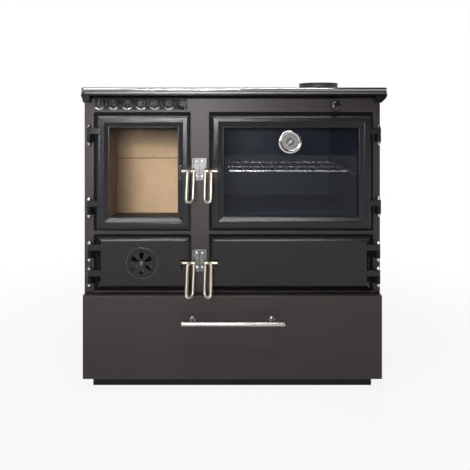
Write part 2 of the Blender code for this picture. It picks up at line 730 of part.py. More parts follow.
def make_cornice():
    """A cove under the hob's front and sides, with a corbel at each front corner."""
    top = HOB_UNDERSIDE - GAP
    reach = FRONT_OVERHANG - CORNICE_SETBACK
    cove_shares = ((0, 0), (1.0, 0), (0.96, 0.30), (0.68, 0.76), (0.30, 0.96), (0, 1.0))
    front = [(-GAP - (reach - GAP) * out, top - CORNICE_HEIGHT * down) for out, down in cove_shares]
    left_reach = LEFT_OVERHANG - GAP
    right_reach = RIGHT_OVERHANG - GAP
    left = LEFT - left_reach
    right = RIGHT + right_reach
    front_ends = (LEFT - left_reach / 2, RIGHT + right_reach / 2)
    cornice = part("cornice", prism(front, "X", front_ends), "black_gloss")
    side_shares = ((0, 0), (1.0, 0), (0.95, 0.45), (0.50, 0.85), (0, 1.0))
    left_side = [(LEFT - GAP - (left_reach - GAP) * out, top - CORBEL_HEIGHT * down)
                 for out, down in side_shares]
    right_side = [(RIGHT + GAP + (right_reach - GAP) * out, top - CORBEL_HEIGHT * down)
                  for out, down in side_shares]
    corbel_shares = ((0, 0), (0.03, 0.40), (0.22, 0.84), (0.50, 1.0), (0.80, 0.94), (1.0, 0.74), (1.0, 0))
    left_corbel = [(left + LEFT_CORBEL_WIDTH * across, top - CORBEL_HEIGHT * down)
                   for across, down in corbel_shares]
    right_corbel = [(right - RIGHT_CORBEL_WIDTH * across, top - CORBEL_HEIGHT * down)
                    for across, down in corbel_shares]
    corbel_ends = (-reach + CORNICE_SETBACK / 2, -GAP)
    fuse(cornice, together(prism(left_corbel, "Y", corbel_ends), prism(right_corbel, "Y", corbel_ends)))
    side_ends = (-reach / 2, BODY_DEPTH)
    fuse(cornice, together(prism(left_side, "Y", side_ends), prism(right_side, "Y", side_ends)))


def make_collar():
    low = HOB_TOP + GAP
    high = HOB_TOP + COLLAR_HEIGHT
    inner = COLLAR_RADIUS - COLLAR_WALL
    flange = COLLAR_RADIUS + COLLAR_FLANGE_WIDTH
    ledge = low + COLLAR_FLANGE
    profile = [(inner, low), (flange, low), (flange, ledge), (COLLAR_RADIUS, ledge),
               (COLLAR_RADIUS, high), (inner, high)]
    part("flue_collar", turned(profile, "Z", (COLLAR_X, COLLAR_Y), MANY_SIDES, hollow=True), "black_gloss")


def make_vent_grille():
    """A cast strip over the air slot, round below each rosette, with a hole in each."""
    left = LEFT + LEFT_STILE + GRILLE_LEFT_MARGIN
    right = STILE_LEFT - GRILLE_RIGHT_MARGIN
    low = UPPER_TOP + GRILLE_ABOVE_OPENING
    high = low + GRILLE_HEIGHT
    centre = low + SCALLOP_RADIUS
    edge = centre - SCALLOP_RADIUS / 2
    outline = [(right, edge), (right, high), (left, high), (left, edge)]
    holes = []
    start = math.radians(210)
    turn = math.radians(120)
    for x in rosette_places():
        outline += circle(SCALLOP_RADIUS, (x, centre), FEW_SIDES // 2, start, turn)
        rosette = circle(ROSETTE_HOLE, (x, high - SCALLOP_RADIUS), FEW_SIDES)
        holes.append(prism(rosette, "Y", (-GRILLE_THICKNESS - GAP - OVERRUN, OVERRUN)))
    grille = part("vent_grille", prism(outline, "Y", (-GRILLE_THICKNESS - GAP, -GAP)), "black_cast")
    cut(grille, together(*holes))


# Doors

def pocket_spans(door):
    """X of the latch pocket and of the boss round it, from the stile to their far ends."""
    way = -HINGE_SIDES[door]
    free = DOORS[door]["right"] if way < 0 else DOORS[door]["left"]
    pocket = sorted((free - way * OVERRUN, STILE_MIDDLE + way * POCKET_FROM_STILE))
    boss = sorted((free + way * CHAMFER_WIDTH / 2, STILE_MIDDLE + way * (POCKET_FROM_STILE + BOSS_WALL)))
    return pocket, boss


def add_latch_pocket(piece, door):
    pocket, boss = pocket_spans(door)
    height = LATCH_HEIGHTS[door]
    low = height - POCKET_BELOW
    high = height + POCKET_ABOVE
    lip_back = DOOR_STANDOFF + 2 * GAP + GLASS
    fuse(piece, block(boss, (-BOSS_FRONT, -(lip_back + LIP_FRONT) / 2), (low - BOSS_RIM, high + BOSS_RIM)))
    cut(piece, block(pocket, (-CROWN_FRONT - OVERRUN, -POCKET_FLOOR), (low, high)))
    way = -HINGE_SIDES[door]
    far = STILE_MIDDLE + way * (POCKET_FROM_STILE + PIN_SEAT + GAP)
    near = STILE_MIDDLE + way * (POCKET_FROM_STILE - OVERRUN)
    bore = circle(ROD_RADIUS + 2 * GAP, (-LATCH_FORWARD, height), SOME_SIDES)
    cut(piece, prism(bore, "X", sorted((near, far))))


def add_knuckles(piece, door):
    x = hinge_x(door)
    way = HINGE_SIDES[door]
    nose = circle(KNUCKLE_RADIUS, (x, -HINGE_FORWARD), FEW_SIDES, math.pi / 2, way * math.pi)
    grip = x + way * (HINGE_REACH + KNUCKLE_GRIP)
    outline = nose + [(grip, -HINGE_FORWARD - KNUCKLE_RADIUS), (grip, -HINGE_FORWARD + KNUCKLE_RADIUS)]
    spans = [(split + GAP, split + GAP + DOOR_KNUCKLE) for split in hinge_splits(door)]
    fuse(piece, together(*[prism(outline, "Z", span) for span in spans]))
    bore = circle(PIN_RADIUS + 2 * GAP, (x, -HINGE_FORWARD), SOME_SIDES)
    cut(piece, together(*[prism(bore, "Z", (low - OVERRUN, high + OVERRUN)) for low, high in spans]))


def flat_ring(inset, width, front, back):
    """The profile of a flat ring behind a door."""
    return [(inset, front), (inset, back), (inset + width, back), (inset + width, front)]


def make_glazed_door(door):
    """Mitred cast frame with a raised band, its pane in a rebate, a retainer and a rope seal behind."""
    edges = DOORS[door]
    body = door + "_door"
    glass_front = DOOR_STANDOFF + GAP + GLASS
    profile = [
        (0, -DOOR_STANDOFF), (0, -EDGE_FRONT), (CHAMFER_WIDTH, -CHAMFER_FRONT),
        (CROWN_WIDTH, -CROWN_FRONT), (BAND_WIDTH, -BAND_FRONT), (SLOPE_WIDTH, -LIP_FRONT),
        (BORDER, -LIP_FRONT), (BORDER, -glass_front - GAP), (BORDER - GLASS_HOLD, -glass_front - GAP),
        (BORDER - GLASS_HOLD, -DOOR_STANDOFF),
    ]
    frame = part(body + "_frame", framed(edges, profile), "black_cast", body)
    add_knuckles(frame, door)
    add_latch_pocket(frame, door)
    pane_inset = BORDER - GLASS_HOLD + GAP
    pane_x = (edges["left"] + pane_inset, edges["right"] - pane_inset)
    pane_z = (edges["bottom"] + pane_inset, edges["top"] - pane_inset)
    pane = part(body + "_glass", block(pane_x, (-glass_front, -DOOR_STANDOFF - GAP), pane_z), "glass", body)
    behind = -DOOR_STANDOFF + GAP
    retainer = flat_ring(RETAINER_INSET, RETAINER_WIDTH, behind, behind + RETAINER_THICKNESS)
    part(body + "_glass_retainer", framed(edges, retainer), "grey_sheet", body)
    seal = flat_ring(SEAL_INSET, SEAL_WIDTH, behind, FRONT_PLATE)
    part(body + "_seal", framed(edges, seal), "seal_rope", body)
    return pane


def make_thermometer(pane):
    """A dial in a bright case whose stem passes through the pane, with its needle on the dial."""
    centre = (THERMOMETER_X, THERMOMETER_Z)
    hole = circle(STEM_RADIUS + 2 * GAP, centre, SOME_SIDES)
    cut(pane, prism(hole, "Y", (-LIP_FRONT, OVERRUN)))
    back = -(DOOR_STANDOFF + 2 * GAP + GLASS)
    front = back - THERMOMETER_DEPTH
    dial = front + THERMOMETER_DISH
    face = THERMOMETER_RADIUS - THERMOMETER_BEZEL
    behind = -DOOR_STANDOFF
    profile = [
        (face, dial), (face, front), (THERMOMETER_RADIUS, front), (THERMOMETER_RADIUS, back),
        (STEM_RADIUS, back), (STEM_RADIUS, behind), (STEM_NUT_RADIUS, behind),
        (STEM_NUT_RADIUS, behind + STEM_NUT), (STEM_RADIUS / 2, behind + STEM_NUT),
        (STEM_RADIUS / 2, behind + STEM_LENGTH),
    ]
    part("thermometer", turned(profile, "Y", centre, MANY_SIDES), "chrome", "oven_door")
    low = dial - GAP
    half = NEEDLE_WIDTH / 2
    x, z = centre
    sine, cosine = math.sin(NEEDLE_COLD), math.cos(NEEDLE_COLD)
    shape = ((half, -NEEDLE_TAIL), (-half, -NEEDLE_TAIL), (-half / 2, NEEDLE_LENGTH),
             (half / 2, NEEDLE_LENGTH))
    outline = [(x + sine * far + cosine * out, z + cosine * far - sine * out) for out, far in shape]
    pointer = prism(outline, "Y", (low - NEEDLE_THICKNESS, low))
    needle = part("thermometer_needle", pointer, "bright_steel", "needle")
    hub = circle(NEEDLE_HUB_RADIUS, centre, SOME_SIDES)
    fuse(needle, prism(hub, "Y", (low - NEEDLE_THICKNESS - THERMOMETER_DISH / 4, low)))


def make_lower_door(door):
    levels = ((0, -DOOR_STANDOFF), (0, -EDGE_FRONT), (FLANGE_WIDTH, -FLANGE_FRONT),
              (FIELD_INSET, -FIELD_FRONT))
    plate = part(door + "_door_plate", stacked(DOORS[door], levels), "black_cast", door + "_door")
    add_knuckles(plate, door)
    add_latch_pocket(plate, door)
    return plate


def spinner_hole(middle_angle, ends):
    """A wedge between two radii, for the disc and for the plate behind it."""
    half = SPINNER_HOLE_ANGLE / 2
    centre = (SPINNER_X, SPINNER_Z)
    steps = FEW_SIDES // 2
    outer = circle(SPINNER_HOLE_OUTER, centre, steps, middle_angle - half, 2 * half)
    inner = circle(SPINNER_HOLE_INNER, centre, 2, middle_angle + half, -2 * half)
    return prism(outer + inner, "Y", ends)


def make_spinner(plate):
    """A slotted disc that turns inside a raised ring on the ash door, over slots of the same shape."""
    centre = (SPINNER_X, SPINNER_Z)
    inner = SPINNER_RADIUS + GAP
    outer = SPINNER_RADIUS + SPINNER_RING_WIDTH
    root = -FIELD_FRONT + OVERRUN / 2
    rim = -FIELD_FRONT - SPINNER_RING_HEIGHT
    ring = [(inner, root), (outer, root), (outer, rim), (inner, rim)]
    fuse(plate, turned(ring, "Y", centre, MANY_SIDES, hollow=True))
    angles = [2 * math.pi * (k + 1 / 2) / SPINNER_HOLES for k in range(SPINNER_HOLES)]
    cut(plate, together(*[spinner_hole(a, (-FIELD_FRONT - OVERRUN, OVERRUN)) for a in angles]))
    back = -FIELD_FRONT - GAP
    front = back - SPINNER_THICKNESS
    hub = front - SPINNER_HUB_HEIGHT
    profile = [(SPINNER_RADIUS - GAP, back), (SPINNER_RADIUS - GAP, front), (SPINNER_HUB_RADIUS, front),
               (SPINNER_HUB_RADIUS / 2, hub)]
    disc = part("air_spinner", turned(profile, "Y", centre, MANY_SIDES), "black_cast", "spinner")
    cut(disc, together(*[spinner_hole(a, (front - OVERRUN, back + OVERRUN)) for a in angles]))


def make_hinge_pins():
    """A pin through each door knuckle and its lug, with a round-headed nut at each end."""
    for door in DOORS:
        centre = (hinge_x(door), -HINGE_FORWARD)
        for place, split in zip(("upper", "lower"), hinge_splits(door)):
            top = split + 2 * GAP + DOOR_KNUCKLE
            foot = split - BODY_KNUCKLE - GAP
            cap = NUT_HEIGHT
            dome_shares = ((1.0, 0), (1.0, 0.45), (0.82, 0.72), (0.35, 1.0))
            profile = [(NUT_RADIUS * r, foot - cap * up) for r, up in reversed(dome_shares)]
            profile += [(PIN_RADIUS, foot), (PIN_RADIUS, top)]
            profile += [(NUT_RADIUS * r, top + cap * up) for r, up in dome_shares]
            part(f"hinge_pin_{door}_{place}", turned(profile, "Z", centre, FEW_SIDES), "chrome")


def loop_path(door):
    """A long loop that leans forwards from the pin, its strand nearer the stile set back."""
    way = -HINGE_SIDES[door]
    top = Vector((STILE_MIDDLE + way * LOOP_FROM_STILE, -LATCH_FORWARD, LATCH_HEIGHTS[door]))
    down = Vector((0, -math.sin(LOOP_LEAN), -math.cos(LOOP_LEAN)))
    across = Vector((way * LOOP_HALF_WIDTH, -LOOP_HALF_DEPTH, 0))
    radius = across.length
    arc = circle(1, (0, 0), FEW_SIDES // 2 + 1, math.pi, -math.pi)
    path = [top + down * (radius - radius * b) + across * a for a, b in arc]
    path += [top + down * (LOOP_LENGTH - radius + radius * b) - across * a for a, b in arc]
    return path


def make_handle(door):
    way = -HINGE_SIDES[door]
    loop = tube(loop_path(door), ROD_RADIUS, FEW_SIDES, closed=True)
    handle = part(f"{door}_door_handle", loop, "bright_steel", f"{door}_handle")
    near = STILE_MIDDLE + way * PIN_END_FROM_STILE
    far = STILE_MIDDLE + way * (POCKET_FROM_STILE + PIN_SEAT)
    pin = circle(ROD_RADIUS, (-LATCH_FORWARD, LATCH_HEIGHTS[door]), FEW_SIDES)
    fuse(handle, prism(pin, "X", sorted((near, far))))


def make_catch(door):
    """A plate on the stile with a cheek that stands out above the handle's pin."""
    way = -HINGE_SIDES[door]
    height = LATCH_HEIGHTS[door]
    inner = STILE_MIDDLE + way * CATCH_SPLIT / 2
    outer = inner + way * CATCH_WIDTH
    foot = inner + way * CATCH_FOOT_WIDTH
    cheek = outer - way * CATCH_SHEET
    back = -GAP
    face = back - CATCH_SHEET
    edge = height + CHEEK_CLEARANCE
    front = face - CHEEK_REACH
    outline = [(inner, back), (outer, back), (outer, front), (cheek, front), (cheek, face), (inner, face)]
    catch = part(f"{door}_catch", prism(outline, "Z", (edge, height + CATCH_ABOVE)), "bright_steel")
    fuse(catch, block(sorted((inner, foot)), (face, back), (height - CATCH_BELOW, edge + OVERRUN)))


# Drawer

def make_drawer():
    """A folded front, closed behind by lips, on a sheet box, with a bar on two posts."""
    side = BODY_WIDTH / 2 - DRAWER_SIDE_SETBACK
    back = -DOOR_STANDOFF
    front = back - DRAWER_DEPTH
    low, high = DRAWER_BOTTOM, DRAWER_TOP
    face = part("drawer_front", block((-side, side), (front, back), (low, high)), "body_enamel", "drawer")
    hollow = block((-side + SHEET, side - SHEET), (front + SHEET, back - SHEET), (low + SHEET, high - SHEET))
    window = block((-side + DRAWER_LIP, side - DRAWER_LIP), (back - 2 * SHEET, back + OVERRUN),
                   (low + DRAWER_LIP_HEIGHT, high - DRAWER_LIP_HEIGHT))
    cut(face, hollow)
    cut(face, window)
    box_side = BODY_WIDTH / 2 - DRAWER_STILE - DRAWER_SIDE_CLEARANCE
    box_low = BASE_TOP + RUNNER_HEIGHT + 2 * GAP
    box_high = DRAWER_OPENING_TOP - DRAWER_BOX_TOP_CLEARANCE
    rect = (-box_side, box_side, back + GAP, DRAWER_BOX_DEPTH)
    box = tray(rect, DRAWER_BOX_SHEET, "Z", box_low, box_high, box_low + DRAWER_BOX_SHEET)
    part("drawer_box", box, "grey_sheet", "drawer")
    ends = (BAR_OFFSET - BAR_LENGTH / 2, BAR_OFFSET + BAR_LENGTH / 2)
    rod = prism(circle(BAR_RADIUS, (BAR_Y, BAR_Z), SOME_SIDES), "X", ends)
    bar = part("drawer_bar", rod, "chrome", "drawer")
    seat = front - GAP
    posts = []
    for x in (-POST_SPACING / 2, POST_SPACING / 2):
        step = seat - POST_FOOT
        profile = [(POST_FOOT_RADIUS, seat), (POST_FOOT_RADIUS, step), (POST_RADIUS, step),
                   (POST_RADIUS, BAR_Y)]
        posts.append(turned(profile, "Y", (x, BAR_Z), SOME_SIDES))
    fuse(bar, together(*posts))


def make_runners():
    outer = INNER_WIDTH / 2
    for name, way in (("left", -1), ("right", 1)):
        xs = sorted((way * (outer - RUNNER_WIDTH), way * outer))
        ys = (FRONT_PLATE + GAP, DRAWER_BOX_DEPTH)
        zs = (BASE_TOP + GAP, BASE_TOP + GAP + RUNNER_HEIGHT)
        part(f"drawer_runner_{name}", block(xs, ys, zs), "grey_sheet")


# Firebox

def make_firebox():
    top = PASSAGE_FLOOR
    left = -INNER_WIDTH / 2
    right = DIVIDER_LEFT - GAP
    front = FRAME_BACK + GAP
    behind = BACK_INSIDE - GAP
    wall = block((DIVIDER_LEFT, DIVIDER_RIGHT), (front, behind), (SHELF_TOP + GAP, top))
    part("divider", wall, "grey_sheet")
    floor_z = (FIRE_FLOOR - FLOOR_THICKNESS, FIRE_FLOOR)
    slab = block((left, right), (front, BRICKS_BACK + FLOOR_MARGIN), floor_z)
    floor = part("firebox_floor", slab, "bare_cast")
    stand = FIRE_FLOOR + GAP
    back_y = (FRAME_BACK + FIREBOX_DEPTH, BRICKS_BACK)
    side_y = (front, FRAME_BACK + FIREBOX_DEPTH - GAP)
    joint = stand + LOWER_COURSE
    part("fire_brick_left", block((left, FIRE_LEFT), side_y, (stand, top)), "fire_brick")
    part("fire_brick_right", block((FIRE_RIGHT, right), side_y, (stand, top)), "fire_brick")
    part("fire_brick_back_lower", block((left, right), back_y, (stand, joint)), "fire_brick")
    part("fire_brick_back_upper", block((left, right), back_y, (joint + GAP, top)), "fire_brick")
    make_grate(floor)


def make_grate(floor):
    """A slotted grate let into the firebox floor."""
    x = (FIRE_LEFT + FIRE_RIGHT) / 2
    y = FRAME_BACK + FIREBOX_DEPTH / 2
    half_x = GRATE_WIDTH / 2
    half_y = GRATE_DEPTH / 2
    low = FIRE_FLOOR - GRATE_THICKNESS
    cut(floor, block((x - half_x - GAP, x + half_x + GAP), (y - half_y - GAP, y + half_y + GAP),
                     (low - GAP, FIRE_FLOOR + OVERRUN)))
    cut(floor, block((x - half_x + GRATE_LEDGE, x + half_x - GRATE_LEDGE),
                     (y - half_y + GRATE_LEDGE, y + half_y - GRATE_LEDGE),
                     (FIRE_FLOOR - FLOOR_THICKNESS - OVERRUN, low + OVERRUN)))
    slab = block((x - half_x, x + half_x), (y - half_y, y + half_y), (low, FIRE_FLOOR))
    grate = part("grate", slab, "bare_cast")
    pitch = (GRATE_WIDTH - 2 * GRATE_RIM + GRATE_BAR) / GRATE_SLOTS
    slot_y = (y - half_y + GRATE_RIM, y + half_y - GRATE_RIM)
    slots = []
    for k in range(GRATE_SLOTS):
        start = x - half_x + GRATE_RIM + pitch * k
        slot_x = (start, start + pitch - GRATE_BAR)
        slots.append(block(slot_x, slot_y, (low - OVERRUN, FIRE_FLOOR + OVERRUN)))
    cut(grate, together(*slots))


def make_ash_pan():
    rect = (PAN_LEFT, PAN_RIGHT, PAN_FRONT, PAN_FRONT + PAN_DEPTH)
    pan = tray(rect, PAN_SHEET, "Z", PAN_BOTTOM, PAN_BOTTOM + PAN_HEIGHT, PAN_BOTTOM + PAN_SHEET)
    part("ash_pan", pan, "grey_sheet", "ash_pan")


# Oven

def make_oven():
    front = FRAME_BACK + GAP
    back = front + OVEN_DEPTH
    wall = OVEN_SHEET
    rect = (OVEN_LEFT - wall, OVEN_RIGHT + wall, OVEN_FLOOR - wall, OVEN_CEILING + wall)
    liner = part("oven_liner", tray(rect, wall, "Y", back, front, back - wall), "oven_enamel")
    rib_top = RACK_Z - RACK_RAIL_RADIUS - GAP
    ribs = []
    for edge, way in ((OVEN_LEFT, 1), (OVEN_RIGHT, -1)):
        xs = sorted((edge - way * wall / 2, edge + way * RUNNER_RIB_WIDTH))
        ys = (front + OVERRUN, back - wall - OVERRUN)
        ribs.append(block(xs, ys, (rib_top - RUNNER_RIB_HEIGHT, rib_top)))
    fuse(liner, together(*ribs))


def make_rack():
    """A rod frame with a middle rail and cross wires, all in one plane."""
    left = OVEN_LEFT + RACK_LEFT_CLEARANCE
    right = OVEN_RIGHT - RACK_RIGHT_CLEARANCE
    front = RACK_FRONT
    back = RACK_FRONT + RACK_DEPTH
    path = [(x, y, RACK_Z) for x, y in corners((left, right, front, back), RACK_RAIL_RADIUS)]
    rack = part("oven_rack", tube(path, RACK_RAIL_RADIUS, FEW_SIDES - 2, closed=True), "chrome", "rack")
    gaps = int((right - left - 2 * RACK_END_GAP) / RACK_WIRE_PITCH)
    first = (left + right - RACK_WIRE_PITCH * gaps) / 2
    wires = []
    for k in range(gaps + 1):
        wire = circle(RACK_WIRE_RADIUS, (first + RACK_WIRE_PITCH * k, RACK_Z), FEW_SIDES - 4)
        wires.append(prism(wire, "Y", (front + RACK_RAIL_RADIUS, back - RACK_RAIL_RADIUS)))
    fuse(rack, together(*wires))
    rail_z = RACK_Z - RACK_RAIL_RADIUS + RACK_WIRE_RADIUS
    rail = circle(RACK_WIRE_RADIUS, (front + RACK_MIDDLE_RAIL, rail_z), FEW_SIDES - 4)
    fuse(rack, prism(rail, "X", (left + RACK_RAIL_RADIUS, right - RACK_RAIL_RADIUS)))


# Smoke passage and damper

def make_damper():
    centre = (DAMPER_X, DAMPER_Z)
    xs = (DIVIDER_RIGHT + GAP, INNER_WIDTH / 2)
    zs = (PASSAGE_FLOOR + GAP, HOB_UNDERSIDE - GAP)
    partition = part("smoke_partition", block(xs, (PARTITION_Y, PARTITION_Y + SHEET), zs), "grey_sheet")
    hole = circle(DAMPER_HOLE_RADIUS, centre, SOME_SIDES)
    cut(partition, prism(hole, "Y", (PARTITION_Y - OVERRUN, PARTITION_Y + SHEET + OVERRUN)))
    root = -DAMPER_KNOB_STANDOFF
    knob_shares = ((0.30, 1.0), (0.72, 0.90), (0.96, 0.66), (1.0, 0.45), (0.90, 0.22), (0.50, 0.05),
                   (0.34, 0))
    profile = [(DAMPER_KNOB_RADIUS * r, root - DAMPER_KNOB_LENGTH * out) for r, out in knob_shares]
    disc = PARTITION_Y - GAP
    face = disc - DAMPER_DISC
    profile += [(DAMPER_ROD_RADIUS, root), (DAMPER_ROD_RADIUS, face), (DAMPER_DISC_RADIUS, face),
                (DAMPER_DISC_RADIUS, disc)]
    part("damper_rod", turned(profile, "Y", centre, SOME_SIDES), "black_gloss", "damper")


def build():
    for old in list(bpy.data.objects):
        bpy.data.objects.remove(old, do_unlink=True)
    make_bodies()
    make_plinth()
    make_panels()
    make_shelf()
    make_front_plate()
    make_inner_frame()
    make_hob()
    make_cornice()
    make_collar()
    make_vent_grille()
    make_glazed_door("fire")
    make_thermometer(make_glazed_door("oven"))
    make_spinner(make_lower_door("ash"))
    make_lower_door("soot")
    make_hinge_pins()
    for door in DOORS:
        make_handle(door)
        make_catch(door)
    make_drawer()
    make_runners()
    make_firebox()
    make_ash_pan()
    make_oven()
    make_rack()
    make_damper()


build()
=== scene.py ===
import json
import math

import bmesh
import bpy
from mathutils import Matrix, Vector


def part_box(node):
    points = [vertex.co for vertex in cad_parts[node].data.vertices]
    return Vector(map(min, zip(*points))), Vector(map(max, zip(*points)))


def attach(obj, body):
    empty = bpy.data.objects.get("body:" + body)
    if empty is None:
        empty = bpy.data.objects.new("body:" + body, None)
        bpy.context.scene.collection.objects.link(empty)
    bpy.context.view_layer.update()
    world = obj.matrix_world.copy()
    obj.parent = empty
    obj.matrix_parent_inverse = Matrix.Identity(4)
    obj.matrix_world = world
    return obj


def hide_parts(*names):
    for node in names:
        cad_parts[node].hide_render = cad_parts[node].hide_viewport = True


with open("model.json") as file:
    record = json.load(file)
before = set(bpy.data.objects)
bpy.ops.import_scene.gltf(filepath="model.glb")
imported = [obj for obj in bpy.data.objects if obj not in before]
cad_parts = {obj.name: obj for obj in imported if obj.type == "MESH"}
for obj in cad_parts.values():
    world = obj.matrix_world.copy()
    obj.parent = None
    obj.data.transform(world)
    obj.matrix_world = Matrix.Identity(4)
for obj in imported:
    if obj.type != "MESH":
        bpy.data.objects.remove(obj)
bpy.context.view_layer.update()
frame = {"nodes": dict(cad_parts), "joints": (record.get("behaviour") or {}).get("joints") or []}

joints = {joint["name"]: joint for joint in frame["joints"]}
# each door, and the side on which its free edge lies
doors = {"fire": 1, "oven": -1, "ash": 1, "soot": -1}

# the body's outer faces, which the side panels give
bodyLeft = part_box("side_panel_left")[0].x
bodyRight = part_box("side_panel_right")[1].x
sheetGap = 0.0043
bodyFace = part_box("side_panel_left")[0].y - sheetGap


# What the later parts share

def linked(name, data):
    # an object for a mesh, curve, lamp or camera, put into the scene
    made = bpy.data.objects.new(name, data)
    bpy.context.scene.collection.objects.link(made)
    return made


def place(tree, kind, inputs=None, **settings):
    # a node with its settings, and its inputs set or linked
    made = tree.nodes.new(kind)
    for key, value in settings.items():
        setattr(made, key, value)
    for key, value in (inputs or {}).items():
        if isinstance(value, bpy.types.NodeSocket):
            tree.links.new(value, made.inputs[key])
        else:
            made.inputs[key].default_value = value
    return made


def worked(tree, kind, first, second=0.0):
    return place(tree, "ShaderNodeMath", {0: first, 1: second}, operation=kind).outputs[0]


def ranged(tree, value, given, wanted=(0.0, 1.0), **settings):
    # a value carried over from one range to another
    inputs = {"Value": value, "From Min": given[0], "From Max": given[1], "To Min": wanted[0], "To Max": wanted[1]}
    return place(tree, "ShaderNodeMapRange", inputs, **settings).outputs["Result"]


def painted(mesh, *materials):
    mesh.materials.clear()
    for material in materials:
        mesh.materials.append(material)


def middleOf(node, axes):
    low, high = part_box(node)
    return tuple((getattr(low, axis) + getattr(high, axis)) / 2 for axis in axes)


def turnsOf(steps):
    return [2 * math.pi * k / steps for k in range(steps)]


def evenly(start, end, count):
    return [start + (end - start) * k / (count - 1) for k in range(count)]


def cornersOf(left, foot, right, head):
    return [(left, foot), (right, foot), (right, head), (left, head)]


# Camera, studio and floor

view = {"station": (-0.0204, -1.74875, 0.773), "tilt": 90.0, "lens": 40.67, "sensor": 36.0,
        "shift": (0.0174, -0.2549)}


def standCamera():
    lens = bpy.data.cameras.new("viewer")
    lens.lens = view["lens"]
    lens.sensor_width = view["sensor"]
    lens.shift_x, lens.shift_y = view["shift"]
    camera = linked("viewer", lens)
    camera.location = view["station"]
    camera.rotation_euler = (math.radians(view["tilt"]), 0, 0)
    bpy.context.scene.camera = camera


studio = {
    "top": {"at": (-0.2, -1.08, 2.1), "aim": (-0.1, -0.30, 0.5), "size": (1.6, 0.15), "watts": 20},
    "key": {"at": (-0.95, -1.6, 1.6), "aim": (-0.1, -0.25, 0.55), "size": (0.7, 0.7), "watts": 5},
    "front": {"at": (-0.33, -2.7, 0.86), "aim": (-0.28, -0.25, 0.66), "size": (0.7, 0.12), "watts": 4.5,
              "spread": 70},
    "hearth": {"at": (-0.60, -2.0, 1.25), "aim": (-0.26, 0.0, 0.60), "size": (0.4, 0.4), "watts": 0.44,
               "spread": 24, "mirrored": False},
    "behind": {"at": (0.4, 2.4, 2.2), "aim": (0.0, 0.2, 0.5), "size": (1.8, 1.2), "watts": 30},
}
surround = {"seen": 1.0, "ambient": 0.13, "behind": 0.8, "infront": 0.08, "depth": (-0.4, 0.4), "high": 0.35,
            "rise": (0.20, 0.75), "floor": 0.80, "floorHalf": 9.0, "floorGlow": 0.88, "mirroredGlow": 0.25,
            "fade": (0.55, 1.5)}


def hangLights():
    for name, lamp in studio.items():
        light = bpy.data.lights.new(name, "AREA")
        light.shape = "RECTANGLE"
        light.size, light.size_y = lamp["size"]
        light.energy = lamp["watts"]
        light.spread = math.radians(lamp.get("spread", 180))
        stand = linked(name, light)
        stand.location = lamp["at"]
        way = Vector(lamp["aim"]) - Vector(lamp["at"])
        stand.rotation_euler = way.to_track_quat("-Z", "Y").to_euler()
        stand.visible_camera = False
        stand.visible_glossy = lamp.get("mirrored", True)


def seenRays(tree, *ways):
    # 1 for the kinds of ray named
    path = place(tree, "ShaderNodeLightPath")
    total = path.outputs[ways[0]]
    for way in ways[1:]:
        total = worked(tree, "MAXIMUM", total, path.outputs[way])
    return total


def mixed(tree, share, first, second):
    return place(tree, "ShaderNodeMixShader", {0: share, 1: first.outputs[0], 2: second.outputs[0]})


def paintWorld():
    # white to look at; in reflections white behind the stove and dimmer overhead and behind the camera
    world = bpy.data.worlds.new("whiteStudio")
    bpy.context.scene.world = world
    world.use_nodes = True
    tree = world.node_tree
    tree.nodes.clear()
    way = place(tree, "ShaderNodeSeparateXYZ", {0: place(tree, "ShaderNodeTexCoord").outputs["Generated"]})
    overhead = ranged(tree, way.outputs["Z"], surround["rise"], (1.0, surround["high"]))
    deep = ranged(tree, way.outputs["Y"], surround["depth"], (surround["infront"], surround["behind"]))
    dimmed = worked(tree, "MULTIPLY", overhead, deep)
    unseen, mirrored, seen = [place(tree, "ShaderNodeBackground", {"Color": (1, 1, 1, 1), "Strength": strength})
                              for strength in (surround["ambient"], dimmed, surround["seen"])]
    reflected = mixed(tree, seenRays(tree, "Is Glossy Ray", "Is Transmission Ray"), unseen, mirrored)
    mix = mixed(tree, seenRays(tree, "Is Camera Ray"), reflected, seen)
    place(tree, "ShaderNodeOutputWorld", {"Surface": mix.outputs[0]})


def layFloor():
    half = surround["floorHalf"]
    mesh = bpy.data.meshes.new("floor")
    mesh.from_pydata([(x, y, 0) for x, y in cornersOf(-half, -half, half, half)], [], [(0, 1, 2, 3)])
    floor = linked("floor", mesh)
    paint = bpy.data.materials.new("paleFloor")
    paint.use_nodes = True
    tree = paint.node_tree
    tree.nodes.clear()
    matt = place(tree, "ShaderNodeBsdfDiffuse", {"Color": (*[surround["floor"]] * 3, 1)})
    glow = place(tree, "ShaderNodeEmission", {"Color": (1, 1, 1, 1)})
    spot = place(tree, "ShaderNodeTexCoord").outputs["Object"]
    away = place(tree, "ShaderNodeVectorMath", {0: spot}, operation="LENGTH").outputs["Value"]
    # the glow rises to 1 away from the stove, from a lesser one in mirrors than to the eye
    nearGlow = ranged(tree, seenRays(tree, "Is Camera Ray"), (0.0, 1.0),
                      (surround["mirroredGlow"], surround["floorGlow"]))
    share = ranged(tree, away, surround["fade"], (nearGlow, 1.0), interpolation_type="SMOOTHSTEP")
    pale = mixed(tree, share, matt, glow)
    mix = mixed(tree, seenRays(tree, "Is Camera Ray", "Is Glossy Ray", "Is Transmission Ray"), matt, pale)
    place(tree, "ShaderNodeOutputMaterial", {"Surface": mix.outputs[0]})
    painted(mesh, paint)


bpy.context.scene.view_settings.view_transform = "Standard"
standCamera()
hangLights()
paintWorld()
layFloor()
print("camera, lights and floor are set")


# Finishes: each is a Principled shader whose pattern reads Object coordinates, in metres

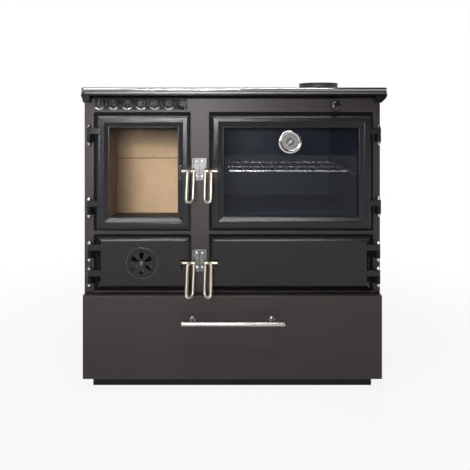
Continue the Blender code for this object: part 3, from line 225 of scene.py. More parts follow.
class Finish:
    def __init__(self, name, colour, roughness, metallic=0.0, **sockets):
        self.material = bpy.data.materials.new(name)
        self.material.use_nodes = True
        self.tree = self.material.node_tree
        self.shader = self.tree.nodes["Principled BSDF"]
        plain = {"Base Color": (*colour, 1), "Roughness": roughness, "Metallic": metallic, **sockets}
        for socket, value in plain.items():
            self.shader.inputs[socket.replace("_", " ")].default_value = value
        self.place = self.node("ShaderNodeTexCoord").outputs["Object"]

    def node(self, kind, inputs=None, **settings):
        return place(self.tree, kind, inputs, **settings)

    def stretched(self, scale):
        return self.node("ShaderNodeMapping", {"Vector": self.place, "Scale": scale}).outputs["Vector"]

    def noise(self, scale, detail=3.0, rough=0.5, at=None):
        inputs = {"Vector": at or self.place, "Scale": scale, "Detail": detail, "Roughness": rough}
        return self.node("ShaderNodeTexNoise", inputs).outputs[0]

    def cells(self, scale, output="Distance", **settings):
        return self.node("ShaderNodeTexVoronoi", {"Vector": self.place, "Scale": scale}, **settings).outputs[output]

    def ramp(self, share, *stops):
        made = self.node("ShaderNodeValToRGB", {"Fac": share})
        marks = made.color_ramp.elements
        while len(marks) < len(stops):
            marks.new(1.0)
        for mark, (spot, colour) in zip(marks, stops):
            mark.position = spot
            mark.color = (*colour, 1) if hasattr(colour, "__len__") else (colour, colour, colour, 1)
        return made.outputs["Color"]

    def blend(self, share, first, second, kind="MIX"):
        made = self.node("ShaderNodeMix", {0: share, 6: first, 7: second}, data_type="RGBA", blend_type=kind)
        return made.outputs[2]

    def plus(self, first, second):
        return worked(self.tree, "ADD", first, second)

    def less(self, first, second):
        return worked(self.tree, "SUBTRACT", first, second)

    def times(self, first, second):
        return worked(self.tree, "MULTIPLY", first, second)

    def most(self, first, second):
        return worked(self.tree, "MAXIMUM", first, second)

    def awayFrom(self, value, middle):
        return worked(self.tree, "ABSOLUTE", self.less(value, middle))

    def spot(self, axis):
        return self.node("ShaderNodeSeparateXYZ", {"Vector": self.place}).outputs[axis]

    def span(self, value, low, high):
        return ranged(self.tree, value, (low, high))

    def feed(self, socket, value, *stops):
        # through a ramp where stops are given
        self.tree.links.new(self.ramp(value, *stops) if stops else value, self.shader.inputs[socket])

    def bump(self, height, distance, strength):
        inputs = {"Height": height, "Distance": distance, "Strength": strength}
        self.feed("Normal", self.node("ShaderNodeBump", inputs).outputs["Normal"])


enamel = {"colour": (0.0365, 0.0268, 0.0268), "warmer": (0.0408, 0.0292, 0.0288), "clouds": 3.2, "specks": 2600.0,
          "peel": 750.0, "peelDepth": 0.00003}


def bodyEnamel():
    coat = Finish("bodyEnamel", enamel["colour"], 0.40, Specular_IOR_Level=0.36)
    clouds = coat.noise(enamel["clouds"], 4.0, 0.6)
    coat.feed("Base Color", clouds, (0.35, enamel["colour"]), (0.65, enamel["warmer"]))
    specks = coat.noise(enamel["specks"], 2.0, 0.6)
    coat.feed("Roughness", coat.times(clouds, specks), (0.12, 0.36), (0.40, 0.47))
    coat.bump(coat.noise(enamel["peel"], 2.0, 0.5), enamel["peelDepth"], 0.7)
    return coat.material


casting = {"colour": (0.0085, 0.0078, 0.0092), "raised": (0.0180, 0.0168, 0.0193), "pebble": 330.0,
           "wander": 181.5, "sand": 1300.0, "sandShare": 0.22, "depth": 0.00055}


def blackCast():
    skin = Finish("blackCast", casting["colour"], 0.34, Specular_IOR_Level=0.33)
    pebble = skin.cells(casting["pebble"], feature="SMOOTH_F1")
    wander = skin.noise(casting["wander"], 3.0, 0.6)
    sand = skin.noise(casting["sand"], 2.0, 0.6)
    leather = skin.plus(skin.times(pebble, wander), skin.times(sand, casting["sandShare"]))
    skin.feed("Base Color", leather, (0.15, casting["colour"]), (0.62, casting["raised"]))
    skin.feed("Roughness", wander, (0.3, 0.16), (0.7, 0.23))
    skin.bump(leather, casting["depth"], 0.75)
    return skin.material


def blackGloss():
    coat = Finish("blackGloss", (0.0065, 0.006, 0.0065), 0.30, Specular_IOR_Level=0.18)
    coat.feed("Roughness", coat.noise(6.0, 3.0), (0.35, 0.27), (0.65, 0.36))
    coat.bump(coat.noise(620.0, 2.0), 0.00003, 0.6)
    return coat.material


def groundIron():
    # the hob's top, ground in one direction, its tone varied in clouds
    iron = Finish("groundIron", (0.085, 0.083, 0.082), 0.42, 0.75)
    strokes = iron.noise(220.0, 4.0, 0.7, iron.stretched((0.04, 1.0, 1.0)))
    clouds = iron.noise(4.5, 5.0, 0.65)
    iron.feed("Base Color", iron.times(strokes, clouds), (0.12, (0.055, 0.054, 0.056)), (0.42, (0.125, 0.121, 0.118)))
    iron.feed("Roughness", strokes, (0.3, 0.34), (0.7, 0.52))
    iron.bump(strokes, 0.00005, 0.5)
    return iron.material


def rawCast():
    # unpainted castings inside, brown-grey with a little scale
    iron = Finish("rawCast", (0.05, 0.047, 0.045), 0.72, 0.2)
    scale = iron.noise(60.0, 6.0, 0.7)
    iron.feed("Base Color", scale, (0.35, (0.034, 0.033, 0.033)), (0.62, (0.075, 0.060, 0.050)))
    iron.bump(iron.plus(iron.noise(420.0, 3.0, 0.6), scale), 0.0004, 0.6)
    return iron.material


# where the rail's painted shade lies, and its colours: the top band, the groove and the lower half
stripe = {"top": 0.0021, "topBlur": 0.0004, "groove": 0.0082, "half": 0.0013, "outer": 1.6, "inner": 0.7,
          "stepBlur": 0.0005, "brushed": 0.30, "face": (0.66, 0.65, 0.64, 1), "lower": (0.14, 0.137, 0.135, 1),
          "deep": (0.05, 0.05, 0.05, 1), "lip": (0.012, 0.0115, 0.011, 1)}


def railChrome():
    # bright plating with painted shade and reflection: an unplated black band along its top edge, and darker colour
    # in its groove and on its lower half; all three are rougher too
    low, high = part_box("hob_rail")
    plate = Finish("railChrome", (0.8, 0.79, 0.78), 0.14, 1.0)
    height = plate.spot("Z")
    edge, middle = high.z - stripe["top"], low.z + stripe["groove"]
    # painted shade: masks for the dark top band, the groove and the lower half
    lip = plate.span(height, edge - stripe["topBlur"], edge)
    groove = plate.span(plate.awayFrom(height, middle), stripe["half"] * stripe["outer"],
                        stripe["half"] * stripe["inner"])
    lower = plate.span(height, middle + stripe["stepBlur"], middle - stripe["stepBlur"])
    face = plate.blend(lower, stripe["face"], stripe["lower"])
    plate.feed("Base Color", plate.blend(lip, plate.blend(groove, face, stripe["deep"]), stripe["lip"]))
    plated = plate.less(1.0, lip)
    plate.feed("Metallic", plated)
    plate.feed("Specular IOR Level", plate.times(plated, 0.5))
    sheen = plate.ramp(plate.noise(9.0, 4.0, 0.6), (0.35, 0.07), (0.70, 0.12))
    dull = plate.most(lower, plate.most(lip, groove))
    plate.feed("Roughness", plate.plus(sheen, plate.times(dull, stripe["brushed"])))
    return plate.material


def bentSteel():
    steel = Finish("bentSteel", (0.52, 0.46, 0.40), 0.20, 1.0)
    drawn = steel.noise(900.0, 3.0, 0.6, steel.stretched((1.0, 1.0, 0.05)))
    steel.feed("Roughness", steel.noise(40.0, 4.0, 0.6), (0.3, 0.34), (0.7, 0.44))
    steel.feed("Base Color", drawn, (0.30, (0.54, 0.475, 0.395)), (0.60, (0.70, 0.63, 0.54)))
    steel.bump(drawn, 0.00002, 0.4)
    return steel.material


def zincSheet():
    sheet = Finish("zincSheet", (0.24, 0.24, 0.25), 0.44, 0.85)
    grain = sheet.noise(240.0, 3.0)
    tone = sheet.blend(0.5, sheet.cells(70.0, "Color"), grain)
    sheet.feed("Base Color", tone, (0.25, (0.17, 0.17, 0.18)), (0.75, (0.29, 0.29, 0.30)))
    sheet.feed("Roughness", tone, (0.25, 0.36), (0.75, 0.52))
    sheet.bump(grain, 0.00003, 0.5)
    return sheet.material


def ovenEnamel():
    coat = Finish("ovenEnamel", (0.036, 0.046, 0.072), 0.36, Specular_IOR_Level=0.3)
    coat.feed("Base Color", coat.cells(700.0), (0.0, (0.042, 0.053, 0.082)), (0.20, (0.036, 0.047, 0.074)),
              (0.32, (0.035, 0.045, 0.071)))
    return coat.material


brick = {"pale": (0.74, 0.545, 0.350), "tan": (0.63, 0.435, 0.265), "soot": (0.050, 0.038, 0.030),
         "darkeningFrom": 0.688, "darkeningTo": 0.752, "drift": 0.05, "darkeningMost": 0.93,
         "leftFace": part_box("fire_brick_left")[1].x, "cornerShadeWide": 0.004, "cornerShadeMost": 0.55,
         "joint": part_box("fire_brick_back_upper")[0].z, "jointWide": 0.0022, "jointCore": 0.0010, "jointMost": 0.62}


def fireBoard():
    # tan board, darker towards the top and in the joint of the two courses, with painted shade beside the left brick
    board = Finish("fireBoard", brick["tan"], 0.93, Specular_IOR_Level=0.2)
    clouds = board.noise(9.0, 5.0, 0.62)
    tone = board.ramp(clouds, (0.30, brick["tan"]), (0.68, brick["pale"]))
    grain = board.blend(0.25, tone, board.cells(380.0, "Color"), "SOFT_LIGHT")
    drift = board.plus(board.spot("Z"), board.times(clouds, brick["drift"]))
    soot = board.span(drift, brick["darkeningFrom"], brick["darkeningTo"])
    # painted shade: the board darkens in the corner beside the left brick
    corner = board.span(board.spot("X"), brick["leftFace"] + brick["cornerShadeWide"], brick["leftFace"])
    shade = board.most(board.times(soot, brick["darkeningMost"]), board.times(corner, brick["cornerShadeMost"]))
    joint = board.span(board.awayFrom(board.spot("Z"), brick["joint"]), brick["jointWide"], brick["jointCore"])
    shade = board.most(shade, board.times(joint, brick["jointMost"]))
    board.feed("Base Color", board.blend(shade, grain, (*brick["soot"], 1)))
    board.bump(board.noise(520.0, 4.0, 0.65), 0.00035, 0.7)
    return board.material


def paneGlass(name, tint, cover, roughness=0.02):
    return Finish(name, tint, roughness, Alpha=cover, IOR=1.52, Specular_IOR_Level=0.5).material


def grained(name, colour, roughness, grain, metallic=0.0, specular=0.5, drawn=None, tone=None, sheen=None,
            press=None):
    # a finish that one noise varies, stretched where the metal is drawn one way
    coat = Finish(name, colour, roughness, metallic, Specular_IOR_Level=specular)
    noise = coat.noise(*grain, coat.stretched(drawn) if drawn else None)
    if tone:
        coat.feed("Base Color", noise, *tone)
    if sheen:
        coat.feed("Roughness", noise, *sheen)
    if press:
        coat.bump(noise, *press)
    return coat.material


def rubbedCast(name, dark, light):
    # raised ornament painted lighter and more metallic than the black cast: a painted highlight
    return grained(name, (light, light, light), 0.30, (260.0, 4.0, 0.7), 0.85, tone=((0.38, dark), (0.60, light)),
                   sheen=((0.36, 0.42), (0.62, 0.24)), press=(0.0002, 0.6))


# finishes of one grain: its scale, detail and roughness, then what it varies and how deep it is pressed in
grains = {
    "chrome": {"name": "chromePlate", "colour": (0.54, 0.53, 0.52), "roughness": 0.10, "metallic": 1.0,
               "grain": (9.0, 4.0, 0.6), "tone": ((0.30, (0.56, 0.55, 0.54)), (0.70, (0.64, 0.63, 0.62))),
               "sheen": ((0.35, 0.06), (0.70, 0.14))},
    "satin": {"name": "satinSteel", "colour": (0.62, 0.60, 0.575), "roughness": 0.27, "metallic": 1.0,
              "grain": (500.0, 3.0, 0.6), "drawn": (0.03, 1.0, 1.0), "sheen": ((0.3, 0.24), (0.7, 0.32)),
              "tone": ((0.3, (0.58, 0.56, 0.535)), (0.7, (0.66, 0.64, 0.615)))},
    "wire": {"name": "rackWire", "colour": (0.86, 0.86, 0.87), "roughness": 0.16, "metallic": 1.0,
             "grain": (60.0, 3.0, 0.5), "sheen": ((0.3, 0.22), (0.7, 0.32))},
    # near-white and mostly diffuse: partly a painted highlight on each weld, besides the bead's own round highlight
    "weld": {"name": "weldBead", "colour": (0.95, 0.95, 0.95), "roughness": 0.5, "metallic": 0.3, "specular": 0.8,
             "grain": (700.0, 3.0, 0.5), "sheen": ((0.3, 0.42), (0.7, 0.58))},
    # bright plating with darker specks, on the catches
    "plated": {"name": "catchPlate", "colour": (0.46, 0.46, 0.47), "roughness": 0.24, "metallic": 1.0,
               "grain": (90.0, 3.0, 0.6), "tone": ((0.36, (0.145, 0.145, 0.148)), (0.60, (0.20, 0.20, 0.203))),
               "sheen": ((0.3, 0.36), (0.7, 0.42))},
    # the flue collar's bare grey casting, greyer than the painted parts
    "collar": {"name": "collarCast", "colour": (0.056, 0.052, 0.048), "roughness": 0.42, "specular": 0.36,
               "grain": (casting["sand"], 2.0, 0.6), "press": (0.0002, 0.6),
               "tone": ((0.3, (0.048, 0.045, 0.042)), (0.7, (0.068, 0.063, 0.058)))},
    # the grille's plate and the inner frame, matt and almost black: painted shade behind the grille's relief and in
    # the gap round the doors
    "shadowBlack": {"name": "sootedCast", "colour": (0.004, 0.0038, 0.0042), "roughness": 0.55, "specular": 0.10,
               "grain": (420.0, 3.0, 0.6), "sheen": ((0.3, 0.48), (0.7, 0.66)), "press": (0.0002, 0.6)},
    "knob": {"name": "knobLacquer", "colour": (0.010, 0.0095, 0.0095), "roughness": 0.14, "specular": 0.6,
             "grain": (90.0, 3.0, 0.5), "sheen": ((0.35, 0.12), (0.65, 0.20))},
    "seal_rope": {"name": "ropeWeave", "colour": (0.17, 0.165, 0.16), "roughness": 0.95, "specular": 0.2,
                  "grain": (1400.0, 3.0, 0.6), "press": (0.0003, 0.8),
                  "tone": ((0.3, (0.10, 0.098, 0.095)), (0.7, (0.24, 0.235, 0.225)))},
    "dial": {"name": "dialPlate", "colour": (0.27, 0.265, 0.26), "roughness": 0.5, "specular": 0.3,
             "grain": (700.0, 3.0, 0.6), "tone": ((0.3, (0.23, 0.226, 0.222)), (0.7, (0.31, 0.305, 0.30)))},
    "core": {"name": "dialCore", "colour": (0.10, 0.10, 0.105), "roughness": 0.5, "specular": 0.3,
             "grain": (700.0, 3.0, 0.6), "tone": ((0.3, (0.085, 0.085, 0.09)), (0.7, (0.13, 0.13, 0.135)))},
    "ink": {"name": "dialInk", "colour": (0.015, 0.015, 0.015), "roughness": 0.55, "grain": (900.0, 3.0, 0.5),
            "sheen": ((0.3, 0.48), (0.7, 0.62))},
}
looks = {
    "body_enamel": bodyEnamel(), "black_cast": blackCast(), "black_gloss": blackGloss(), "bare_cast": rawCast(),
    "bright_steel": bentSteel(), "grey_sheet": zincSheet(), "oven_enamel": ovenEnamel(), "fire_brick": fireBoard(),
    "ground": groundIron(), "rail": railChrome(),
    "glass": paneGlass("fireGlass", (0.10, 0.085, 0.07), 0.05),
    "ovenGlass": paneGlass("ovenGlass", (0.012, 0.016, 0.026), 0.20),
    "cover": paneGlass("coverGlass", (0.3, 0.3, 0.3), 0.06),
    "reliefHighlight": rubbedCast("rubbedCast", 0.03, 0.17), "polished": rubbedCast("polishedCast", 0.45, 0.95),
    "line": rubbedCast("wornLine", 0.12, 0.36),
    **{look: grained(**settings) for look, settings in grains.items()},
}
print("finishes are mixed")


# Modelling helpers

# how near counts as the same: merged points, a flat's level, a line of the doors' relief, the drawer's face
within = {"point": 0.00002, "level": 0.00005, "line": 0.0002, "front": 0.0001}
# how near its axis a turned profile ends
pip = 0.0001


def finished(name, mesh, *materials, crease=35, merge=1e-7):
    skin = bmesh.new()
    skin.from_mesh(mesh)
    bmesh.ops.remove_doubles(skin, verts=skin.verts, dist=merge)
    bmesh.ops.recalc_face_normals(skin, faces=skin.faces)
    skin.to_mesh(mesh)
    skin.free()
    painted(mesh, *materials)
    mesh.shade_smooth()
    mesh.set_sharp_from_angle(angle=math.radians(crease))
    return linked(name, mesh)


def skinOf(name, points, faces, *materials, crease=35):
    mesh = bpy.data.meshes.new(name)
    mesh.from_pydata([tuple(point) for point in points], [], faces)
    return finished(name, mesh, *materials, crease=crease)


def meshOf(piece):
    # the mesh that an object's curve, text or modifiers make
    graph = bpy.context.evaluated_depsgraph_get()
    graph.update()
    return bpy.data.meshes.new_from_object(piece.evaluated_get(graph), depsgraph=graph)


def changed(piece, kind, **settings):
    change = piece.modifiers.new(kind.lower(), kind)
    for key, value in settings.items():
        setattr(change, key, value)
    return change


def baked(piece):
    # puts what the modifiers make in place of the mesh
    mesh = meshOf(piece)
    mesh.name = piece.name
    piece.modifiers.clear()
    piece.data = mesh
    return piece


def cutOut(piece, *cutters):
    # takes the cutters' shapes out of a piece
    for cutter in cutters:
        changed(piece, "BOOLEAN", object=cutter, operation="DIFFERENCE", solver="EXACT")
    baked(piece)
    cleared(*cutters)
    return piece


def cleared(*helpers):
    for helper in helpers:
        bpy.data.objects.remove(helper)


def joined(name, *pieces):
    # one mesh from several, each with its own materials kept
    skin = bmesh.new()
    materials = []
    for piece in pieces:
        own = list(piece.data.materials)
        materials += [material for material in dict.fromkeys(own) if material not in materials]
        slots = [materials.index(material) for material in own]
        start = len(skin.faces)
        skin.from_mesh(piece.data)
        skin.faces.ensure_lookup_table()
        for face in skin.faces[start:]:
            face.material_index = slots[face.material_index] if slots else 0
    mesh = bpy.data.meshes.new(name)
    skin.to_mesh(mesh)
    skin.free()
    cleared(*pieces)
    # painted() would put every face back on the first material
    for material in materials:
        mesh.materials.append(material)
    return linked(name, mesh)


def ringed(rings, closed=False, capped=True):
    # the points and faces of a skin over rings of one count
    count = len(rings[0])
    points = [point for ring in rings for point in ring]
    faces = []
    for i in range(len(rings) if closed else len(rings) - 1):
        here, there = i * count, (i + 1) % len(rings) * count
        for k in range(count):
            after = (k + 1) % count
            faces.append((here + k, here + after, there + after, there + k))
    if capped and not closed:
        faces += [tuple(range(count)), tuple(range(len(points) - count, len(points)))]
    return points, faces


def onAxis(a, b, t, axis):
    return {"X": (t, a, b), "Y": (a, t, b), "Z": (a, b, t)}[axis]


def filleted(corners, steps=4, closed=False):
    # rounds each corner (a, b, reach) of an outline off
    points = []
    count = len(corners)
    for i, (a, b, reach) in enumerate(corners):
        here = Vector((a, b))
        if not reach or (not closed and i in (0, count - 1)):
            points.append((a, b))
            continue
        back = Vector(corners[i - 1][:2]) - here
        onward = Vector(corners[(i + 1) % count][:2]) - here
        start = here + back.normalized() * min(reach, back.length * 0.49)
        end = here + onward.normalized() * min(reach, onward.length * 0.49)
        for k in range(steps + 1):
            t = k / steps
            point = start * (1 - t) ** 2 + here * (2 * t * (1 - t)) + end * t * t
            points.append((point.x, point.y))
    return points


def lathed(name, profile, axis, centre, steps, material, ease=0, hollow=False, crease=35):
    # profile: radius and place along the axis, and how far each corner is rounded off where there is an ease
    if ease:
        profile = filleted(profile, ease, hollow)
    rings = [[onAxis(centre[0] + radius * math.cos(turn), centre[1] + radius * math.sin(turn), t, axis)
              for turn in turnsOf(steps)] for radius, t in profile]
    return skinOf(name, *ringed(rings, closed=hollow), material, crease=crease)


def rodAlong(name, path, radius, steps, material, closed=False):
    points = [Vector(point) for point in path]
    count = len(points)
    rings = []
    across = None
    for i, point in enumerate(points):
        before = points[i - 1] if i or closed else point
        after = points[(i + 1) % count] if i + 1 < count or closed else point
        forward = (after - before).normalized()
        if across is None:
            across = forward.orthogonal().normalized()
        across = (across - forward * across.dot(forward)).normalized()
        up = forward.cross(across)
        rings.append([point + (across * math.cos(turn) + up * math.sin(turn)) * radius for turn in turnsOf(steps)])
    return skinOf(name, *ringed(rings, closed=closed), material, crease=50)


def mergedSkin(node):
    skin = bmesh.new()
    skin.from_mesh(frame["nodes"][node].data)
    bmesh.ops.remove_doubles(skin, verts=skin.verts, dist=within["point"])
    return skin


def loopsOf(node, axis, level):
    # outlines of the flat that a node has at one level along an axis
    skin = mergedSkin(node)
    flat = {face for face in skin.faces if all(abs(vert.co[axis] - level) < within["level"] for vert in face.verts)}
    spare = {edge for face in flat for edge in face.edges if sum(other in flat for other in edge.link_faces) == 1}
    kept = [i for i in range(3) if i != axis]
    loops = []
    while spare:
        edge = spare.pop()
        start, here = edge.verts
        run = [start]
        while here is not start:
            run.append(here)
            onward = next(other for other in here.link_edges if other in spare)
            spare.discard(onward)
            here = onward.other_vert(here)
        loops.append([tuple(vert.co[i] for i in kept) for vert in run])
    skin.free()
    return loops


def evenShading(piece):
    # large flats stay flat in the light where they meet a rounded edge
    changed(piece, "WEIGHTED_NORMAL", keep_sharp=True, weight=60)
    return baked(piece)


def flatPlate(name, outlines, start, end, ease, material, upright=True):
    # a flat shape with holes, its edges rounded; upright in the plane of the doors or lying
    curve = bpy.data.curves.new(name, "CURVE")
    curve.dimensions = "2D"
    curve.fill_mode = "BOTH"
    curve.extrude = (end - start) / 2 - ease
    curve.bevel_depth = ease
    curve.bevel_resolution = 1
    curve.offset = -ease
    for outline in outlines:
        line = curve.splines.new("POLY")
        line.points.add(len(outline) - 1)
        for point, (a, b) in zip(line.points, outline):
            point.co = (a, b, 0, 1)
        line.use_cyclic_u = True
    helper = linked(name, curve)
    mesh = meshOf(helper)
    cleared(helper)
    level = (start + end) / 2
    turned = Matrix.Rotation(math.radians(90), 4, "X") if upright else Matrix.Identity(4)
    mesh.transform(Matrix.Translation((0, level, 0) if upright else (0, 0, level)) @ turned)
    return evenShading(finished(name, mesh, material, crease=50, merge=1e-6))


def extruded(name, outline, along, ends, material, crease=30, ease=0.0004):
    # an outline drawn out along an axis, its two ends eased
    centre = Vector((sum(a for a, b in outline), sum(b for a, b in outline))) / len(outline)
    rings = []
    start, end = sorted(ends)
    for t, inset in ((start, ease), (start + ease, 0), (end - ease, 0), (end, ease)):
        ring = []
        for a, b in outline:
            out = Vector((a, b)) - centre
            spot = centre + out * (1 - inset / max(out.length, ease))
            ring.append(onAxis(spot.x, spot.y, t, along))
        rings.append(ring)
    return evenShading(skinOf(name, *ringed(rings), material, crease=crease))


def softened(name, node, look, width=0.0006, segments=2, angle=25, wide=None, wideWidth=0.0, shape=None):
    # a CAD node's shape with its edges rounded off, those that wide() picks by more
    mesh = frame["nodes"][node].data.copy()
    skin = mergedSkin(node)
    skin.to_mesh(mesh)
    skin.free()
    if shape:
        shape(mesh)
    if wide:
        skin = bmesh.new()
        skin.from_mesh(mesh)
        picked = [edge for edge in skin.edges if len(edge.link_faces) == 2
                  and edge.calc_face_angle(0) > math.radians(angle) and wide(edge)]
        bmesh.ops.bevel(skin, geom=picked, offset=wideWidth, segments=4, profile=0.5, affect="EDGES")
        skin.to_mesh(mesh)
        skin.free()
    painted(mesh, looks[look])
    mesh.shade_smooth()
    piece = linked(name, mesh)
    changed(piece, "BEVEL", width=width, segments=segments, limit_method="ANGLE", angle_limit=math.radians(angle),
            use_clamp_overlap=False, harden_normals=True, miter_outer="MITER_ARC")
    return evenShading(baked(piece))


def settle(piece, body, slot, *stoodFor):
    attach(piece, body)
    if stoodFor:
        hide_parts(*stoodFor)


def dressed(name, node, body, slot, *edges, **shaping):
    # the softened shape of a node whose finish is its slot's own, settled in the node's place
    settle(softened(name, node, slot, *edges, **shaping), body, slot, node)


def treeOf(name, **sockets):
    # an empty Geometry Nodes tree with named inputs
    tree = bpy.data.node_groups.new(name, "GeometryNodeTree")
    tree.interface.new_socket("Geometry", in_out="INPUT", socket_type="NodeSocketGeometry")
    for label, kind in sockets.items():
        tree.interface.new_socket(label, in_out="INPUT", socket_type="NodeSocket" + kind)
    tree.interface.new_socket("Geometry", in_out="OUTPUT", socket_type="NodeSocketGeometry")
    return tree, tree.nodes.new("NodeGroupInput").outputs


def endTree(tree, get, *geometry):
    # joins what is made, makes it real and paints it
    both = place(tree, "GeometryNodeJoinGeometry")
    for made in geometry:
        tree.links.new(made, both.inputs[0])
    real = place(tree, "GeometryNodeRealizeInstances", {"Geometry": both.outputs[0]})
    coated = place(tree, "GeometryNodeSetMaterial", {"Geometry": real.outputs[0], "Material": get["Material"]})
    place(tree, "NodeGroupOutput", {"Geometry": coated.outputs[0]})
    return tree


def grown(name, points, edges, tree, inputs):
    # runs a tree on a few points or edges and keeps what it makes as a plain mesh
    mesh = bpy.data.meshes.new(name)
    mesh.from_pydata([tuple(point) for point in points], edges, [])
    piece = linked(name, mesh)
    change = changed(piece, "NODES", node_group=tree)
    names = {item.name: item.identifier for item in tree.interface.items_tree if item.in_out == "INPUT"}
    for label, value in inputs.items():
        change[names[label]] = value
    return baked(piece)


def copiesTree():
    # Copy on every point, turned by Turn, and spun about its own axis at random by Spin
    tree, get = treeOf("copiesOnPoints", Copy="Object", Turn="Vector", Spin="Float", Seed="Int", Material="Material")
    shape = place(tree, "GeometryNodeObjectInfo", {"Object": get["Copy"]})
    turn = place(tree, "FunctionNodeEulerToRotation", {0: get["Turn"]})
    chance = place(tree, "FunctionNodeRandomValue", {"Seed": get["Seed"], 3: get["Spin"]}, data_type="FLOAT")
    angle = place(tree, "ShaderNodeCombineXYZ", {"Z": chance.outputs[1]})
    spin = place(tree, "FunctionNodeEulerToRotation", {0: angle.outputs[0]})
    both = place(tree, "FunctionNodeRotateRotation", {0: turn.outputs[0], 1: spin.outputs[0]}, rotation_space="LOCAL")
    inputs = {"Points": get["Geometry"], "Instance": shape.outputs["Geometry"], "Rotation": both.outputs[0]}
    return endTree(tree, get, place(tree, "GeometryNodeInstanceOnPoints", inputs).outputs[0])


copies = copiesTree()


def scattered(name, pattern, points, look, turn=(0, 0, 0), spin=0.0, seed=1):
    inputs = {"Copy": pattern, "Turn": turn, "Spin": spin, "Seed": seed, "Material": looks[look]}
    return grown(name, points, [], copies, inputs)


facingFront = (math.radians(90), 0, 0)
facingBack = (math.radians(-90), 0, 0)
facingUp = (0, 0, 0)
facingDown = (math.radians(180), 0, 0)


# Screws, nuts and bolts that other pieces repeat; each stands on its seat and points along +Z

# the dome's corners are shares of the head's radius, of its rise and again of its radius
screw = {"head": 0.0041, "rise": 0.0026, "seat": -0.0006, "recess": 0.0044, "recessWidth": 0.0010, "depth": 0.0014,
         "over": 0.001, "taper": (0.55, 0.8), "steps": 28,
         "dome": ((1.0, 0.25, 0), (0.86, 0.82, 0.3), (0.5, 1.0, 0.3), (0.02, 1.0, 0))}


def screwPattern(size=1.0):
    head, rise = screw["head"] * size, screw["rise"] * size
    dome = [(head, screw["seat"], 0)] + [(head * out, rise * up, head * ease) for out, up, ease in screw["dome"]]
    whole = lathed("screwHead", dome, "Z", (0, 0), screw["steps"], looks["wire"], 4)
    bars = []
    for width, length in ((screw["recessWidth"], screw["recess"]), (screw["recess"], screw["recessWidth"])):
        half, reach = width * size / 2, length * size / 2
        corners = cornersOf(-half, -reach, half, reach)
        rings = [[(x * screw["taper"][0], y * screw["taper"][1], rise - screw["depth"] * size) for x, y in corners],
                 [(x, y, rise + screw["over"]) for x, y in corners]]
        bars.append(skinOf("screwBar", *ringed(rings), looks["bright_steel"]))
    cutOut(whole, *bars).data.set_sharp_from_angle(angle=math.radians(35))
    return whole


def ringAt(height, reachAt, steps=24):
    # a level ring that reaches reachAt(turn) from its axis
    return [(reachAt(turn) * math.cos(turn), reachAt(turn) * math.sin(turn), height) for turn in turnsOf(steps)]


def hexReach(turn, radius):
    side = (turn + math.pi / 6) % (math.pi / 3) - math.pi / 6
    return radius * math.cos(math.pi / 6) / math.cos(side)


nut = {"radius": 0.0046, "hex": 0.0050, "height": 0.0098, "corner": 1.06, "chamfer": 0.90, "foot": 0.0004,
       "shoulder": 0.0006, "dome": 0.84, "domeSteps": 7}


def acornPattern():
    radius, flat, height = nut["radius"], nut["hex"], nut["height"]
    levels = ((nut["chamfer"], 0), (1.0, nut["foot"]), (1.0, flat - nut["shoulder"]), (nut["chamfer"], flat))
    rings = [ringAt(rise, lambda turn: min(hexReach(turn, radius) * nut["corner"], radius) * share)
             for share, rise in levels]
    for k in range(nut["domeSteps"]):
        lift = math.radians(90 * k / nut["domeSteps"])
        rings.append(ringAt(flat + (height - flat) * math.sin(lift),
                            lambda turn: radius * nut["dome"] * math.cos(lift)))
    rings.append(ringAt(height, lambda turn: 0))
    return skinOf("acornNut", *ringed(rings, capped=False), looks["chrome"], crease=28)


# the washer's rings are its reach and height, the head's are a share of its reach and a height
bolt = {"radius": 0.0052, "washer": ((0.0064, -0.0004), (0.0064, 0.0009), (0.0053040, 0.0010)),
        "head": ((1.0, 0.0010), (1.0, 0.0034), (0.86, 0.0040), (0.02, 0.0040))}


def boltPattern():
    rings = [ringAt(height, lambda turn: reach) for reach, height in bolt["washer"]]
    rings += [ringAt(height, lambda turn: hexReach(turn, bolt["radius"]) * share) for share, height in bolt["head"]]
    return skinOf("hexBolt", *ringed(rings), looks["black_gloss"], crease=28)


patterns = {"screw": screwPattern(), "smallScrew": screwPattern(0.62), "acorn": acornPattern(), "bolt": boltPattern()}
print("screws and nuts are turned")


# Body: front plate with its hinge lugs, side panels, plinth

shell = {"ease": 0.0012, "noseSteps": 16}
lug = {"radius": 0.0058, "height": 0.022, "nut": 0.0103, "back": 0.002, "reach": 0.0098, "neck": 0.011,
       "ease": 0.0007}


def hingeLug(door, height):
    pinNode = f"hinge_pin_{door}_{height}"
    x, y = middleOf(pinNode, "xy")
    radius, way = lug["radius"], doors[door]
    nose = [math.radians(180 + 180 * k / shell["noseSteps"]) for k in range(shell["noseSteps"] + 1)]
    outline = [(x + radius * math.cos(turn), y + radius * math.sin(turn)) for turn in nose]
    root = x + way * lug["reach"]
    wings = [(root, bodyFace - lug["neck"]), (root, bodyFace + lug["back"]),
             (x - way * radius, bodyFace + lug["back"])]
    outline += wings if way > 0 else wings[::-1]
    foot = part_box(pinNode)[0].z + lug["nut"]
    return extruded("lug", outline, "Z", (foot, foot + lug["height"]), looks["black_gloss"], 40, lug["ease"])


